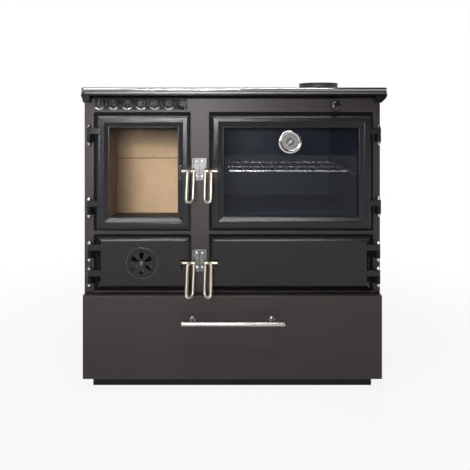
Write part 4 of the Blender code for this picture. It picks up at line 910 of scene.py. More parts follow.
def bodyShell():
    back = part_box("front_plate")[1].y
    plate = flatPlate("frontPlate", loopsOf("front_plate", 1, back), bodyFace, back, shell["ease"],
                      looks["body_enamel"])
    settle(plate, "stove", "body_enamel", "front_plate")
    lugs = [hingeLug(door, height) for door in doors for height in ("upper", "lower")]
    settle(joined("bodyLugs", *lugs), "stove", "black_cast")
    dressed("leftSidePanel", "side_panel_left", "stove", "body_enamel", shell["ease"], 3)
    dressed("rightSidePanel", "side_panel_right", "stove", "body_enamel", shell["ease"], 3)
    dressed("plinthBase", "plinth", "stove", "black_cast", shell["ease"], 3)
    low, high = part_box("inner_frame")
    # painted shadow: the inner frame is matt near-black so the gap round the doors reads as shade
    plate = flatPlate("innerCastFrame", loopsOf("inner_frame", 1, low.y), low.y, high.y, shell["ease"],
                      looks["shadowBlack"])
    settle(plate, "stove", "bare_cast", "inner_frame")


bodyShell()
print("body shell is made")


# Hob: ground plate, bright rail, lid with its rings, flue collar with its bolts

# the rail's section: how far out, what share of the rail's height, and how far the corner is rounded
rail = {"inset": 0.0100, "corner": 0.0045, "steps": 8,
        "section": ((0.0004, 0, 0), (0.0090, 0, 0.0010), (0.0094, 0.40, 0.0012), (0.0058, 0.455, 0.0006),
                    (0.0100, 0.53, 0.0022), (0.0100, 0.82, 0.0036), (0.0076, 1, 0.0030), (0.0004, 1, 0))}


def hobRail():
    low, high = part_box("hob_rail")
    across = filleted([(out, low.z + (high.z - low.z) * share, ease) for out, share, ease in rail["section"]], 6)
    inset, corner = rail["inset"], rail["corner"]
    left, right, front, back = low.x + inset, high.x - inset, low.y + inset, high.y
    quarter = [math.radians(90 * k / rail["steps"]) for k in range(1, rail["steps"])]
    # where the section stands along the rail, and which way it points out
    runs = [(left, back, -1.0, 0.0), (left, front + corner, -1.0, 0.0)]
    runs += [(left, front, -math.cos(turn), -math.sin(turn)) for turn in quarter]
    runs += [(left + corner, front, 0.0, -1.0), (right - corner, front, 0.0, -1.0)]
    runs += [(right, front, math.sin(turn), -math.cos(turn)) for turn in quarter]
    runs += [(right, front + corner, 1.0, 0.0), (right, back, 1.0, 0.0)]
    rings = [[(x + dx * out, y + dy * out, z) for out, z in across] for x, y, dx, dy in runs]
    settle(skinOf("hobRail", *ringed(rings), looks["rail"], crease=32), "stove", "chrome", "hob_rail")


lid = {"grooves": (0.30, 0.62, 0.86), "width": 0.0022, "depth": 0.0012, "grooveEase": 0.0004, "chamfer": 0.0015,
       "slot": (0.0105, 0.0039), "slotEase": 0.0038, "slotDepth": 0.0042, "over": 0.002, "steps": 96}


def hobLid():
    low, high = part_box("hob_lid")
    centre, radius = middleOf("hob_lid", "xy"), (high.x - low.x) / 2
    half, ease = lid["width"] / 2, lid["grooveEase"]
    profile = [(pip, low.z, 0), (radius - lid["chamfer"], low.z, 0.001), (radius, low.z + lid["chamfer"], 0.001),
               (radius, high.z, 0.0008)]
    for share in reversed(lid["grooves"]):
        profile += [(radius * share + out, high.z - down, ease) for out, down in
                    ((half, 0), (half / 2, lid["depth"]), (-half / 2, lid["depth"]), (-half, 0))]
    profile.append((pip, high.z, 0))
    piece = lathed("hobLid", profile, "Z", centre, lid["steps"], looks["ground"], 3, crease=30)
    across, along = lid["slot"]
    outline = filleted([(centre[0] + dx, centre[1] - radius / 2 + dy, lid["slotEase"])
                        for dx, dy in cornersOf(-across, -along, across, along)], 4, True)
    rings = [[(x, y, z) for x, y in outline] for z in (high.z - lid["slotDepth"], high.z + lid["over"])]
    cutOut(piece, skinOf("lifterSlot", *ringed(rings), looks["ground"]))
    settle(piece, "stove", "bare_cast", "hob_lid")


collar = {"wall": 0.009, "bore": 0.0135, "flange": 0.006, "neck": 0.0012, "fillet": 0.0004, "footRise": 0.004,
          "rimFrom": 0.0062, "rimTo": 0.0046, "bolts": 4, "boltShare": 0.937, "steps": 96}


def flueCollar():
    low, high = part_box("flue_collar")
    x, y = middleOf("flue_collar", "xy")
    flange, ledge = (high.x - low.x) / 2, low.z + collar["flange"]
    tube, bore = flange - collar["wall"], flange - collar["bore"]
    neck = tube - collar["neck"]
    profile = [(bore, low.z, 0.0008), (flange, low.z, 0.0006), (flange, ledge, 0.0016),
               (tube + collar["fillet"], ledge, 0.0016), (neck, ledge + collar["footRise"], 0.0012),
               (neck, high.z - collar["rimFrom"], 0.0012), (tube, high.z - collar["rimTo"], 0.0012),
               (tube, high.z, 0.0014), (bore, high.z, 0.0014)]
    ring = lathed("flueCollar", profile, "Z", (x, y), collar["steps"], looks["collar"], 4, hollow=True)
    reach = flange * collar["boltShare"]
    turns = [math.radians(45 + 360 * k / collar["bolts"]) for k in range(collar["bolts"])]
    spots = [(x + reach * math.cos(turn), y + reach * math.sin(turn), ledge) for turn in turns]
    bolts = scattered("collarBolts", patterns["bolt"], spots, "black_gloss", spin=math.pi, seed=4)
    settle(ring, "stove", "black_gloss", "flue_collar")
    settle(bolts, "stove", "black_gloss")


# the corbel's corners are shares of its width and height, and how far each is rounded
cove = {"reach": 0.027, "height": 0.0125, "band": 0.0035, "hollow": 0.94, "step": 0.0006, "gap": 0.0003,
        "sideBand": 0.010, "corbel": 0.024, "corbelWidths": (0.025, 0.0335), "corbelInset": 0.0008,
        "corbelEase": 0.0014,
        "shape": ((0, 0, 0.0004), (0.02, 0.22, 0.003), (0.16, 0.56, 0.005), (0.36, 0.80, 0.005),
                  (0.62, 0.98, 0.004), (0.94, 1.0, 0.002), (1.0, 0.94, 0.001), (1.0, 0.0, 0.0004))}


def cornice():
    low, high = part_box("cornice")
    top, black, face = high.z, looks["black_gloss"], bodyFace - cove["gap"]
    left, right = bodyLeft - cove["gap"], bodyRight + cove["gap"]
    reach, band, tall = cove["reach"] - cove["gap"], cove["band"], cove["height"]
    # from the top inner corner out along the top, down the band and back in under a hollow
    outline = [(face, top, 0), (face - reach, top, 0.0008), (face - reach, top - band, 0.0008)]
    for k in range(1, 9):
        turn = math.radians(90 * k / 8)
        outline.append((face - (reach * (1 - cove["hollow"] * math.sin(turn)) - cove["step"]),
                        top - band - (tall - band) * (1 - math.cos(turn)), 0))
    outline.append((face, top - tall, 0.0006))
    ends = ((low.x + left) / 2, (high.x + right) / 2)
    parts = [extruded("frontCove", filleted(outline, 3, True), "X", ends, black)]
    for root, edge in ((left, low.x), (right, high.x)):
        outline = filleted([(root, top, 0), (edge, top, 0.0008), (edge, top - cove["sideBand"], 0.004),
                            (root, top - cove["corbel"], 0.001)], 4, True)
        parts.append(extruded("sideStrip", outline, "Y", (bodyFace - cove["reach"] / 2, high.y), black))
    for edge, width in ((low.x, cove["corbelWidths"][0]), (high.x, -cove["corbelWidths"][1])):
        outline = filleted([(edge + width * out, top - cove["corbel"] * down, ease)
                            for out, down, ease in cove["shape"]], 4, True)
        parts.append(extruded("corbel", outline, "Y", (low.y + cove["corbelInset"], face), black, 30,
                              cove["corbelEase"]))
    settle(joined("corniceMoulding", *parts), "stove", "black_gloss", "cornice")


def hobTop():
    low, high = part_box("hob_plate")
    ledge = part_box("hob_lid")[0].z
    parts = [flatPlate("half", loopsOf("hob_plate", 2, level), start, end, 0.0007, looks["ground"], False)
             for level, start, end in ((high.z, ledge, high.z), (low.z, low.z, ledge))]
    settle(joined("hobPlate", *parts), "stove", "bare_cast", "hob_plate")
    hobRail()
    hobLid()
    flueCollar()
    cornice()


hobTop()
print("hob is made")


# Vent grille: a pierced strip, rosettes with a ring and four petals, leaves and scrolls between

grille = {"count": 7, "fromEnd": 0.0135, "scallop": 0.0130, "edge": 0.78, "ring": 0.0108, "ringRod": 0.00095,
          "petal": 0.0026, "petalOut": 0.0048, "petalRim": 0.0003, "petalRod": 0.0004, "thick": 0.0018,
          "ease": 0.0005, "rosetteDown": 0.0130, "topLine": 0.0011}


def ringPoints(x, z, radius, steps, squash=1.0, turn=0.0):
    spots = []
    for angle in turnsOf(steps):
        a, b = radius * math.cos(angle), radius * squash * math.sin(angle)
        spots.append((x + a * math.cos(turn) - b * math.sin(turn), z + a * math.sin(turn) + b * math.cos(turn)))
    return spots


def beadStroke(name, path, radii, y, material, flat=0.62):
    # a raised stroke of changing width, half sunk in the plate
    rings = []
    for i, (x, z) in enumerate(path):
        before = Vector(path[max(i - 1, 0)])
        after = Vector(path[min(i + 1, len(path) - 1)])
        forward = (after - before).normalized()
        side = Vector((-forward.y, forward.x))
        ring = []
        for angle in turnsOf(10):
            out = side * (radii[i] * math.cos(angle))
            ring.append((x + out.x, y - radii[i] * flat * math.sin(angle), z + out.y))
        rings.append(ring)
    return skinOf(name, *ringed(rings), material, crease=60)


def arcPath(x, z, radius, start, end, steps):
    angles = [math.radians(start + (end - start) * k / steps) for k in range(steps + 1)]
    return [(x + radius * math.cos(angle), z + radius * math.sin(angle)) for angle in angles]


def swelling(most, least, count=9):
    return [most * (least + (1 - least) * math.sin(math.pi * (k + 0.5) / count)) for k in range(count)]


def petalSpots(x, z):
    # the middles of a rosette's four petals
    turns = [math.radians(45 + 90 * k) for k in range(4)]
    return [(x + grille["petalOut"] * math.cos(turn), z + grille["petalOut"] * math.sin(turn)) for turn in turns]


def rosettePattern(look):
    # relief of one rosette about the origin of X and Z: ring, cross, petal rims and centre boss
    parts = [rodAlong("ring", [(a, 0, b) for a, b in ringPoints(0, 0, grille["ring"], 40)], grille["ringRod"], 8,
                      look, True)]
    for turn, petal in zip((0, 90, 180, 270), petalSpots(0, 0)):
        way = Vector((math.cos(math.radians(turn)), math.sin(math.radians(turn))))
        path = [tuple(way * reach) for reach in (0.0016, 0.0035, 0.0060, 0.0088)]
        parts.append(beadStroke("crossArm", path, [0.0011, 0.0007, 0.0008, 0.0013], 0, look))
        rim = ringPoints(*petal, grille["petal"] + grille["petalRim"], 16)
        parts.append(rodAlong("petalRim", [(a, 0, b) for a, b in rim], grille["petalRod"], 6, look, True))
    parts.append(beadStroke("boss", [(0, z) for z in (-0.0019, -0.0012, 0, 0.0012, 0.0019)],
                            [0.0004, 0.0015, 0.0020, 0.0015, 0.0004], 0, look, 0.8))
    return joined("rosette", *parts)


def scrollPattern(look):
    # two bold strokes that meet under a rosette, each with a curl, and a drop between them
    base = -0.0055 - grille["rosetteDown"] + grille["scallop"]
    parts = []
    for side in (-1, 1):
        scroll = [(side * (0.0090 - 0.0074 * t), base - 0.0050 - 0.0066 * math.sin(t * 1.35))
                  for t in evenly(0, 1, 9)]
        parts.append(beadStroke("scroll", scroll, swelling(0.0019, 0.35), 0, look, 0.9))
        curl = arcPath(side * 0.0102, base - 0.0058, 0.0019, 90, 90 - side * 250, 8)
        parts.append(beadStroke("curl", curl, swelling(0.0009, 0.5), 0, look, 0.9))
    parts.append(beadStroke("drop", [(0, base - down) for down in (0.0078, 0.0092, 0.0106, 0.0118)],
                            [0.0004, 0.0013, 0.0014, 0.0005], 0, look, 0.9))
    return joined("scrolls", *parts)


def leafPattern(look):
    # an upright leaf with two curls at its foot and two at its tip, between two rosettes
    widths = [0.0003, 0.0011, 0.0017, 0.0020, 0.0021, 0.0020, 0.0017, 0.0013, 0.0009, 0.0005, 0.0002]
    parts = [beadStroke("leaf", [(0, -0.0075 + 0.0015 * k) for k in range(11)], widths, 0, look)]
    for side in (-1, 1):
        curl = arcPath(side * 0.0034, -0.0078, 0.0020, 90 + side * 90, 90 - side * 130, 8)
        parts.append(beadStroke("footCurl", curl, swelling(0.0009, 0.5), 0, look, 0.9))
        tip = [(side * 0.0010, 0.0070), (side * 0.0026, 0.0084), (side * 0.0046, 0.0092)]
        parts.append(beadStroke("topCurl", tip, [0.0004, 0.0009, 0.0005], 0, look, 0.9))
    return joined("leaf", *parts)


def ventGrille():
    low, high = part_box("vent_grille")
    back, front = high.y, high.y - grille["thick"]
    xs = evenly(low.x + grille["fromEnd"], high.x - grille["fromEnd"], grille["count"])
    between = [(a + b) / 2 for a, b in zip(xs, xs[1:])]
    centreZ = high.z - grille["rosetteDown"]
    scallopZ = low.z + grille["scallop"]
    edge = scallopZ - grille["scallop"] * grille["edge"]
    outline = [(high.x, edge), (high.x, high.z), (low.x, high.z), (low.x, edge)]
    for x in xs:
        outline += arcPath(x, scallopZ, grille["scallop"] - 0.0006, 235, 305, 10)
    holes = [ringPoints(*petal, grille["petal"], 14) for x in xs for petal in petalSpots(x, centreZ)]
    for middle in between:
        for side in (-1, 1):
            holes.append(ringPoints(middle + side * 0.0042, centreZ + 0.0015, 0.0038, 12, 0.42, math.radians(90)))
            holes.append(ringPoints(middle + side * 0.0050, centreZ - 0.0102, 0.0017, 10))
        holes.append(ringPoints(middle, centreZ - 0.0118, 0.0014, 10))
    parts = [flatPlate("grillePlate", [outline, *holes], front, back, grille["ease"], looks["shadowBlack"])]
    # the relief takes the lighter finishes, painted highlights on the rosettes, leaves and scrolls
    for name, pattern, look, places in (("rosettes", rosettePattern, "reliefHighlight", xs),
                                        ("scrolls", scrollPattern, "polished", xs[:-1]),
                                        ("leaves", leafPattern, "reliefHighlight", between)):
        relief = pattern(looks[look])
        parts.append(scattered(name, relief, [(x, front, centreZ) for x in places], look))
        cleared(relief)
    topLine = [(x, high.z - 0.0012) for x in evenly(low.x + 0.001, high.x - 0.001, 7)]
    parts.append(beadStroke("topLine", topLine, [grille["topLine"]] * 7, front, looks["shadowBlack"]))
    # one leaf bends up at the right end
    bend = ((0.0105, -0.001), (0.0075, 0.0005), (0.0045, 0.0040), (0.0026, 0.0085), (0.0018, 0.0130))
    parts.append(beadStroke("endLeaf", [(high.x - back, edge + up) for back, up in bend],
                            [0.0005, 0.0016, 0.0019, 0.0013, 0.0004], front, looks["reliefHighlight"], 0.9))
    settle(joined("ventGrille", *parts), "stove", "black_cast", "vent_grille")


ventGrille()
print("vent grille is cast")


# Doors: cast frames and plates, panes, retainers with screws, rope seals

doorLook = {"edge": 0.0008, "ridge": 0.020, "ridgeRound": 0.0020, "frameReach": 0.031, "longEdge": 0.09,
            "plateEdge": 0.0010, "plateProud": 0.019, "plateRidgeRound": 0.0012, "chamferFoot": 0.009,
            "chamferLifted": 0.0138, "retainerEase": 0.0003, "screwInset": 0.0045, "screwSunk": 0.0002}
# a glazed frame's lines: how far each stands before the body's face, how far it will, and how far it moves outward
frameLines = ((0.017, 0.0165, 0.0035), (0.020, 0.020, 0.003), (0.018, 0.0198, -0.0025), (0.0085, 0.0115, 0.0))


def ropeTree():
    # a core with tilted strands laid on it all along the path
    tree, get = treeOf("ropeAlongPath", Strand="Object", Pitch="Float", Core="Float", Material="Material")
    line = place(tree, "GeometryNodeMeshToCurve", {"Mesh": get["Geometry"]}).outputs[0]
    even = place(tree, "GeometryNodeResampleCurve", {"Curve": line, "Length": get["Pitch"]}, mode="LENGTH")
    ring = place(tree, "GeometryNodeCurvePrimitiveCircle", {"Resolution": 8, "Radius": get["Core"]})
    core = place(tree, "GeometryNodeCurveToMesh", {"Curve": line, "Profile Curve": ring.outputs[0]})
    shape = place(tree, "GeometryNodeObjectInfo", {"Object": get["Strand"]})
    tangent = place(tree, "GeometryNodeInputTangent")
    turn = place(tree, "FunctionNodeAlignRotationToVector", {"Vector": tangent.outputs[0]}, axis="X", pivot_axis="Y")
    inputs = {"Points": even.outputs[0], "Instance": shape.outputs["Geometry"], "Rotation": turn.outputs[0]}
    strands = place(tree, "GeometryNodeInstanceOnPoints", inputs)
    return endTree(tree, get, core.outputs[0], strands.outputs[0])


seal = {"pitch": 0.0026, "core": 0.0019, "half": 0.004, "corner": 0.012, "strandWidth": 0.0036, "strandThick": 1.1}


def strandPattern():
    # two short strands that cross the rope at opposite slants
    parts = []
    for side in (-1, 1):
        path = [(-0.0022 + 0.0011 * k, side * seal["strandWidth"] * (0.06 + 0.20 * k)) for k in range(5)]
        parts.append(beadStroke("strand", path, [0.0006, 0.0011, 0.0012, 0.0011, 0.0005], 0, looks["seal_rope"],
                                seal["strandThick"]))
    return joined("strand", *parts)


def doorSeal(door, tree):
    node = f"{door}_door_seal"
    low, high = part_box(node)
    half = seal["half"]
    corners = cornersOf(low.x + half, low.z + half, high.x - half, high.z - half)
    outline = filleted([(x, z, seal["corner"]) for x, z in corners], 5, True)
    edges = [(k, (k + 1) % len(outline)) for k in range(len(outline))]
    strand = strandPattern()
    inputs = {"Strand": strand, "Pitch": seal["pitch"], "Core": seal["core"], "Material": looks["seal_rope"]}
    rope = grown(door + "DoorSeal", [(x, (low.y + high.y) / 2, z) for x, z in outline], edges, tree, inputs)
    cleared(strand)
    settle(rope, door + "_door", "seal_rope", node)


def standsAt(vert, proud):
    # whether a point lies this far before the body's face
    return abs(vert.co.y - bodyFace + proud) < within["line"]


def reshaped(door):
    # a flatter and wider face than the solid's on a glazed frame
    low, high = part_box(door + "_door_glass")
    left, right = low.x - doorLook["frameReach"], high.x + doorLook["frameReach"]

    def move(mesh):
        for found, wanted, outward in frameLines:
            picked = [vert for vert in mesh.vertices if standsAt(vert, found) and left < vert.co.x < right]
            for axis in (0, 2):
                places = [vert.co[axis] for vert in picked]
                start, end = min(places), max(places)
                for vert in picked:
                    if vert.co[axis] - start < within["line"]:
                        vert.co[axis] -= outward
                    elif end - vert.co[axis] < within["line"]:
                        vert.co[axis] += outward
            for vert in picked:
                vert.co.y = bodyFace - wanted
    return move


def fuller(mesh):
    # lifts the chamfer round a lower door's plate
    for vert in mesh.vertices:
        if standsAt(vert, doorLook["chamferFoot"]):
            vert.co.y = bodyFace - doorLook["chamferLifted"]


def ridge(proud):
    # picks the long edges at one height before the body's face
    return lambda edge: (edge.calc_length() > doorLook["longEdge"]
                         and all(standsAt(vert, proud) for vert in edge.verts))


def rimSpots(low, high, inset, y, across, up):
    # places round the rim of an upright sheet
    xs = evenly(low.x + inset, high.x - inset, across)
    zs = evenly(low.z + inset, high.z - inset, up)
    return ([(x, y, z) for x in xs for z in (zs[0], zs[-1])]
            + [(x, y, z) for z in zs[1:-1] for x in (xs[0], xs[-1])])


def glazedDoor(door, tree):
    body = door + "_door"
    dressed(door + "DoorFrame", body + "_frame", body, "black_cast", doorLook["edge"], 3, 12, shape=reshaped(door),
            wide=ridge(doorLook["ridge"]), wideWidth=doorLook["ridgeRound"])
    painted(frame["nodes"][body + "_glass"].data, looks["glass" if door == "fire" else "ovenGlass"])
    node = body + "_glass_retainer"
    low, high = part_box(node)
    strip = flatPlate(door + "GlassRetainer", loopsOf(node, 1, high.y), low.y, high.y, doorLook["retainerEase"],
                      looks["grey_sheet"])
    spots = rimSpots(low, high, doorLook["screwInset"], high.y - doorLook["screwSunk"], 4, 4)
    screws = scattered(door + "RetainerScrews", patterns["smallScrew"], spots, "bright_steel", facingBack, math.pi, 7)
    settle(strip, body, "grey_sheet", node)
    settle(screws, body, "bright_steel")
    doorSeal(door, tree)


def lowerDoor(door):
    dressed(door + "DoorPlate", door + "_door_plate", door + "_door", "black_cast", doorLook["plateEdge"], 3, 20,
            shape=fuller, wide=ridge(doorLook["plateProud"]), wideWidth=doorLook["plateRidgeRound"])


spinner = {"edge": 0.0005, "screw": 0.0046, "screwSunk": 0.0001, "line": 0.0430, "lineRod": 0.0006,
           "lineProud": 0.0191}


def airSpinner():
    wheel = softened("airSpinner", "air_spinner", "black_cast", spinner["edge"], 2, 30)
    centre, seat = middleOf("air_spinner", "xz"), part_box("air_spinner")[0].y
    top = seat + spinner["screwSunk"]
    head = [(spinner["screw"], seat + 0.0008, 0), (spinner["screw"], top, 0.0005), (pip, top, 0)]
    cap = lathed("spinnerScrew", head, "Y", centre, 24, looks["bright_steel"], 3)
    # painted highlight: a thin lighter ring round the spinner stands for the lit outline of its ring
    ring = [(x, bodyFace - spinner["lineProud"], z) for x, z in ringPoints(*centre, spinner["line"], 72)]
    settle(rodAlong("spinnerLine", ring, spinner["lineRod"], 8, looks["line"], True), "ash_door", "black_cast")
    settle(wheel, "spinner", "black_cast", "air_spinner")
    settle(cap, "spinner", "bright_steel")


def hangDoors():
    tree = ropeTree()
    for door in ("fire", "oven"):
        glazedDoor(door, tree)
    for door in ("ash", "soot"):
        lowerDoor(door)
    airSpinner()


hangDoors()
print("doors are hung")


# Hinge pins with acorn nuts

pin = {"radius": 0.0029, "nut": 0.0100, "hidden": 0.001, "spin": 1.0}


def hingePins():
    nodes = [f"hinge_pin_{door}_{height}" for door in doors for height in ("upper", "lower")]
    shafts, tops, feet = [], [], []
    for node in nodes:
        low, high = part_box(node)
        x, y = middleOf(node, "xy")
        foot, top = low.z + pin["nut"], high.z - pin["nut"]
        ends = [(pin["radius"], foot - pin["hidden"]), (pin["radius"], top + pin["hidden"])]
        shafts.append(lathed("shaft", ends, "Z", (x, y), 20, looks["chrome"]))
        tops.append((x, y, top))
        feet.append((x, y, foot))
    upper = scattered("upperNuts", patterns["acorn"], tops, "chrome", facingUp, pin["spin"], 3)
    lower = scattered("lowerNuts", patterns["acorn"], feet, "chrome", facingDown, pin["spin"], 9)
    settle(joined("hingePins", *shafts, upper, lower), "stove", "chrome", *nodes)


hingePins()
print("hinge pins are in")


# Latches: a hanging loop welded to its pin, and the catch plates on the stile

latch = {"rod": 0.0042, "halfWidth": 0.00875, "halfDepth": 0.0054, "length": 0.095, "lean": math.radians(34),
         "bendSteps": 14, "stouter": 0.0018, "stoutSteps": (8, 22), "pinEase": 0.0012, "steps": 20, "weld": 0.0007,
         "smoothing": 4}


def latchHandle(door):
    node = f"{door}_door_handle"
    steel, rod = looks["bright_steel"], latch["rod"]
    spot = Vector(joints[f"{door}_handle_lift"]["pos_m"])
    down = Vector((0, -math.sin(latch["lean"]), -math.cos(latch["lean"])))
    across = Vector((-doors[door] * latch["halfWidth"], -latch["halfDepth"], 0))
    radius = across.length
    turns = [math.pi - math.pi * k / latch["bendSteps"] for k in range(latch["bendSteps"] + 1)]
    path = [spot + down * (radius - radius * math.sin(turn)) + across * math.cos(turn) for turn in turns]
    path += [spot + down * (latch["length"] - radius + radius * math.sin(turn)) - across * math.cos(turn)
             for turn in turns]
    loop = rodAlong("loop", path, rod, latch["steps"], steel, closed=True)
    # the outer leg is stouter than the inner one, towards the inside
    stout = [point - across.normalized() * latch["stouter"] for point in path[slice(*latch["stoutSteps"])]]
    leg = rodAlong("outerLeg", stout, rod, latch["steps"], steel)
    low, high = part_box(node)
    ease = latch["pinEase"]
    end = [(rod - ease, 0), (rod - ease * 0.3, ease * 0.3), (rod, ease)]
    shape = [(reach, low.x + t) for reach, t in end] + [(reach, high.x - t) for reach, t in reversed(end)]
    bar = lathed("latchPin", shape, "X", (spot.y, spot.z), latch["steps"], steel)
    whole = joined(door + "LatchHandle", loop, leg, bar)
    changed(whole, "REMESH", mode="VOXEL", voxel_size=latch["weld"])
    changed(whole, "SMOOTH", factor=0.5, iterations=latch["smoothing"])
    baked(whole)
    painted(whole.data, steel)
    whole.data.shade_smooth()
    settle(whole, f"{door}_handle", "bright_steel", node)


# the screws' places: how far from the plate's inner edge, and how high over the handle's pin
catch = {"edge": 0.0005, "screws": ((0.0078, 0.0267), (0.0068, -0.0142)), "sunk": 0.003}


def catchPlates():
    spots = []
    for door, side in doors.items():
        node = f"{door}_catch"
        settle(softened(door + "Catch", node, "plated", catch["edge"], 2), "stove", "bright_steel", node)
        low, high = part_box(node)
        inner, height = high.x if side > 0 else low.x, joints[f"{door}_handle_lift"]["pos_m"][2]
        spots += [(inner - side * aside, high.y - catch["sunk"], height + up) for aside, up in catch["screws"]]
    screws = scattered("catchScrews", patterns["screw"], spots, "wire", facingFront, math.pi, 5)
    settle(screws, "stove", "bright_steel")


for door in doors:
    latchHandle(door)
catchPlates()
print("latches are bent")


# Thermometer in the oven door: case, dial with scale and numbers, cover and needle

gauge = {"first": 50, "step": 50, "numbers": 7, "ticks": 5, "sweep": 270.0, "dish": 0.0228, "face": 0.003,
         "case": 0.010, "shank": 0.0006, "plate": 0.0002, "tickOut": 0.0216, "longTick": 0.0036,
         "longHalf": 0.00035, "shortTick": 0.0020, "shortHalf": 0.0002, "figure": 0.0037, "figureAt": 0.0155,
         "core": 0.0118, "coreThick": 0.00006, "print": 0.00008, "steps": 72, "innerSteps": 60}


def printedText(words, x, z, y):
    curve = bpy.data.curves.new("figure", "FONT")
    curve.body = words
    curve.size = gauge["figure"]
    curve.align_x = "CENTER"
    curve.align_y = "CENTER"
    curve.extrude = gauge["print"] / 2
    helper = linked("figure", curve)
    mesh = meshOf(helper)
    cleared(helper)
    mesh.transform(Matrix.Translation((x, y, z)) @ Matrix.Rotation(math.radians(90), 4, "X"))
    return finished("figure", mesh, looks["ink"])


def dialMark(centre, turn, inner, half, y):
    way = Vector((math.sin(turn), math.cos(turn)))
    side = Vector((way.y, -way.x)) * half
    near, far = Vector(centre) + way * inner, Vector(centre) + way * gauge["tickOut"]
    corners = [near - side, near + side, far + side, far - side]
    rings = [[(p.x, level, p.y) for p in corners] for level in (y, y - gauge["print"])]
    return skinOf("mark", *ringed(rings), looks["ink"])


def dialPrint(centre, level):
    marks = []
    ticks = gauge["ticks"]
    last = (gauge["numbers"] - 1) * ticks
    for k in range(last + 1):
        turn = math.radians(-gauge["sweep"] / 2 + gauge["sweep"] * k / last)
        length = "short" if k % ticks else "long"
        marks.append(dialMark(centre, turn, gauge["tickOut"] - gauge[length + "Tick"], gauge[length + "Half"], level))
        if length == "long":
            number = gauge["first"] + gauge["step"] * (k // ticks)
            marks.append(printedText(str(number), centre[0] + gauge["figureAt"] * math.sin(turn),
                                     centre[1] + gauge["figureAt"] * math.cos(turn), level - gauge["print"] / 2))
    return joined("printing", *marks)


def thermometer():
    low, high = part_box("thermometer")
    centre, radius, inner = middleOf("thermometer", "xz"), (high.x - low.x) / 2, gauge["dish"]
    front, face, back = low.y, low.y + gauge["face"], low.y + gauge["case"]
    behind = bodyFace - gauge["shank"]
    # from the dish out over the bezel's round, back, and in again along the shank behind
    case = [(pip, face + 0.0002, 0), (inner - 0.0002, face + 0.0002, 0), (inner, face, 0.0006),
            (inner + 0.0012, front + 0.0014, 0.0010), (inner + 0.0040, front, 0.0024),
            (radius - 0.0034, front + 0.0004, 0.0030), (radius - 0.0006, front + 0.0030, 0.0020),
            (radius, front + 0.0056, 0.0012), (radius, back - 0.0014, 0.0008), (radius - 0.0010, back, 0.0006),
            (0.005, back, 0), (0.005, behind, 0), (0.009, behind, 0.0004), (0.009, behind + 0.004, 0.0006),
            (0.0034, behind + 0.004, 0.0003), (0.0025, behind + 0.0052, 0.0006), (0.0025, high.y - 0.001, 0.0008),
            (0.0012, high.y, 0.0006), (pip, high.y, 0)]
    shell = lathed("case", case, "Y", centre, gauge["steps"], looks["chrome"], 4, crease=30)
    level = face - gauge["plate"]
    reach = inner - 0.0006
    plate = lathed("dial", [(pip, face), (reach, face), (reach, level), (pip, level)], "Y", centre, gauge["steps"],
                   looks["dial"])
    raised = level - gauge["coreThick"]
    core = lathed("core", [(pip, level), (gauge["core"], level), (gauge["core"], raised), (pip, raised)], "Y", centre,
                  gauge["innerSteps"], looks["core"])
    whole = joined("thermometerCase", shell, plate, core, dialPrint(centre, level))
    settle(whole, "oven_door", "chrome", "thermometer")
    lens = [(pip, front + 0.0012, 0), (inner - 0.0005, front + 0.0012, 0.0002),
            (inner - 0.0005, front + 0.0007, 0.0002), (pip, front + 0.0005, 0)]
    cover = lathed("thermometerCover", lens, "Y", centre, gauge["innerSteps"], looks["cover"], 3)
    settle(cover, "oven_door", "glass")
    pointer(centre)


needle = {"long": 0.0200, "point": 0.0008, "tail": 0.0080, "flare": 1.5, "root": 0.0013, "tip": 0.00035,
          "thick": 0.0007, "hub": 0.0034, "cold": math.radians(-135)}


def pointer(centre):
    low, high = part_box("thermometer_needle")
    back, steel = high.y, looks["bright_steel"]
    way = Vector((math.sin(needle["cold"]), math.cos(needle["cold"])))
    side, middle = Vector((way.y, -way.x)), Vector(centre)
    # one edge from the tail to the tip, as lengths along the hand and out to its side
    edge = [(-needle["tail"], needle["root"] * needle["flare"]), (-needle["tail"] / 2, needle["root"]),
            (0, needle["root"]), (needle["long"], needle["tip"])]
    outline = [middle + way * along - side * out for along, out in edge]
    outline.append(middle + way * (needle["long"] + needle["point"]))
    outline += [middle + way * along + side * out for along, out in reversed(edge)]
    rings = [[(p.x, y, p.y) for p in outline] for y in (back, back - needle["thick"])]
    hand = skinOf("hand", *ringed(rings), steel)
    cap = [(needle["hub"], back, 0), (needle["hub"], low.y + 0.0004, 0.0004), (needle["hub"] * 0.6, low.y, 0.0006),
           (pip, low.y, 0)]
    hub = lathed("hub", cap, "Y", centre, 28, steel, 3)
    settle(joined("thermometerNeedle", hand, hub), "needle", "bright_steel", "thermometer_needle")


thermometer()
print("thermometer is set in")


# Drawer: folded front, bar on two posts, box

bar = {"sheet": 0.016, "edge": 0.0006, "frontRound": 0.0026, "radius": 0.006, "endRound": 0.0012,
       "postRadius": 0.005, "footRadius": 0.0078, "foot": 0.0036, "spacing": 0.220}


def drawerFront():
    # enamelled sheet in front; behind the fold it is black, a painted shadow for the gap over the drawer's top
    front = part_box("drawer_front")[0].y
    shadowFrom = front + bar["sheet"]

    def outer(edge):
        return all(abs(vert.co.y - front) < within["front"] for vert in edge.verts)

    face = softened("drawerFront", "drawer_front", "body_enamel", bar["edge"], 2, 30, wide=outer,
                    wideWidth=bar["frontRound"])
    skin = bmesh.new()
    skin.from_mesh(face.data)
    bmesh.ops.bisect_plane(skin, geom=[*skin.verts, *skin.edges, *skin.faces], plane_co=(0, shadowFrom, 0),
                           plane_no=(0, 1, 0), dist=1e-6)
    for part in skin.faces:
        # painted shadow: faces behind the fold take the black finish
        part.material_index = 1 if part.calc_center_median().y > shadowFrom else 0
    skin.to_mesh(face.data)
    skin.free()
    face.data.materials.append(looks["black_gloss"])
    settle(face, "drawer", "body_enamel", "drawer_front")


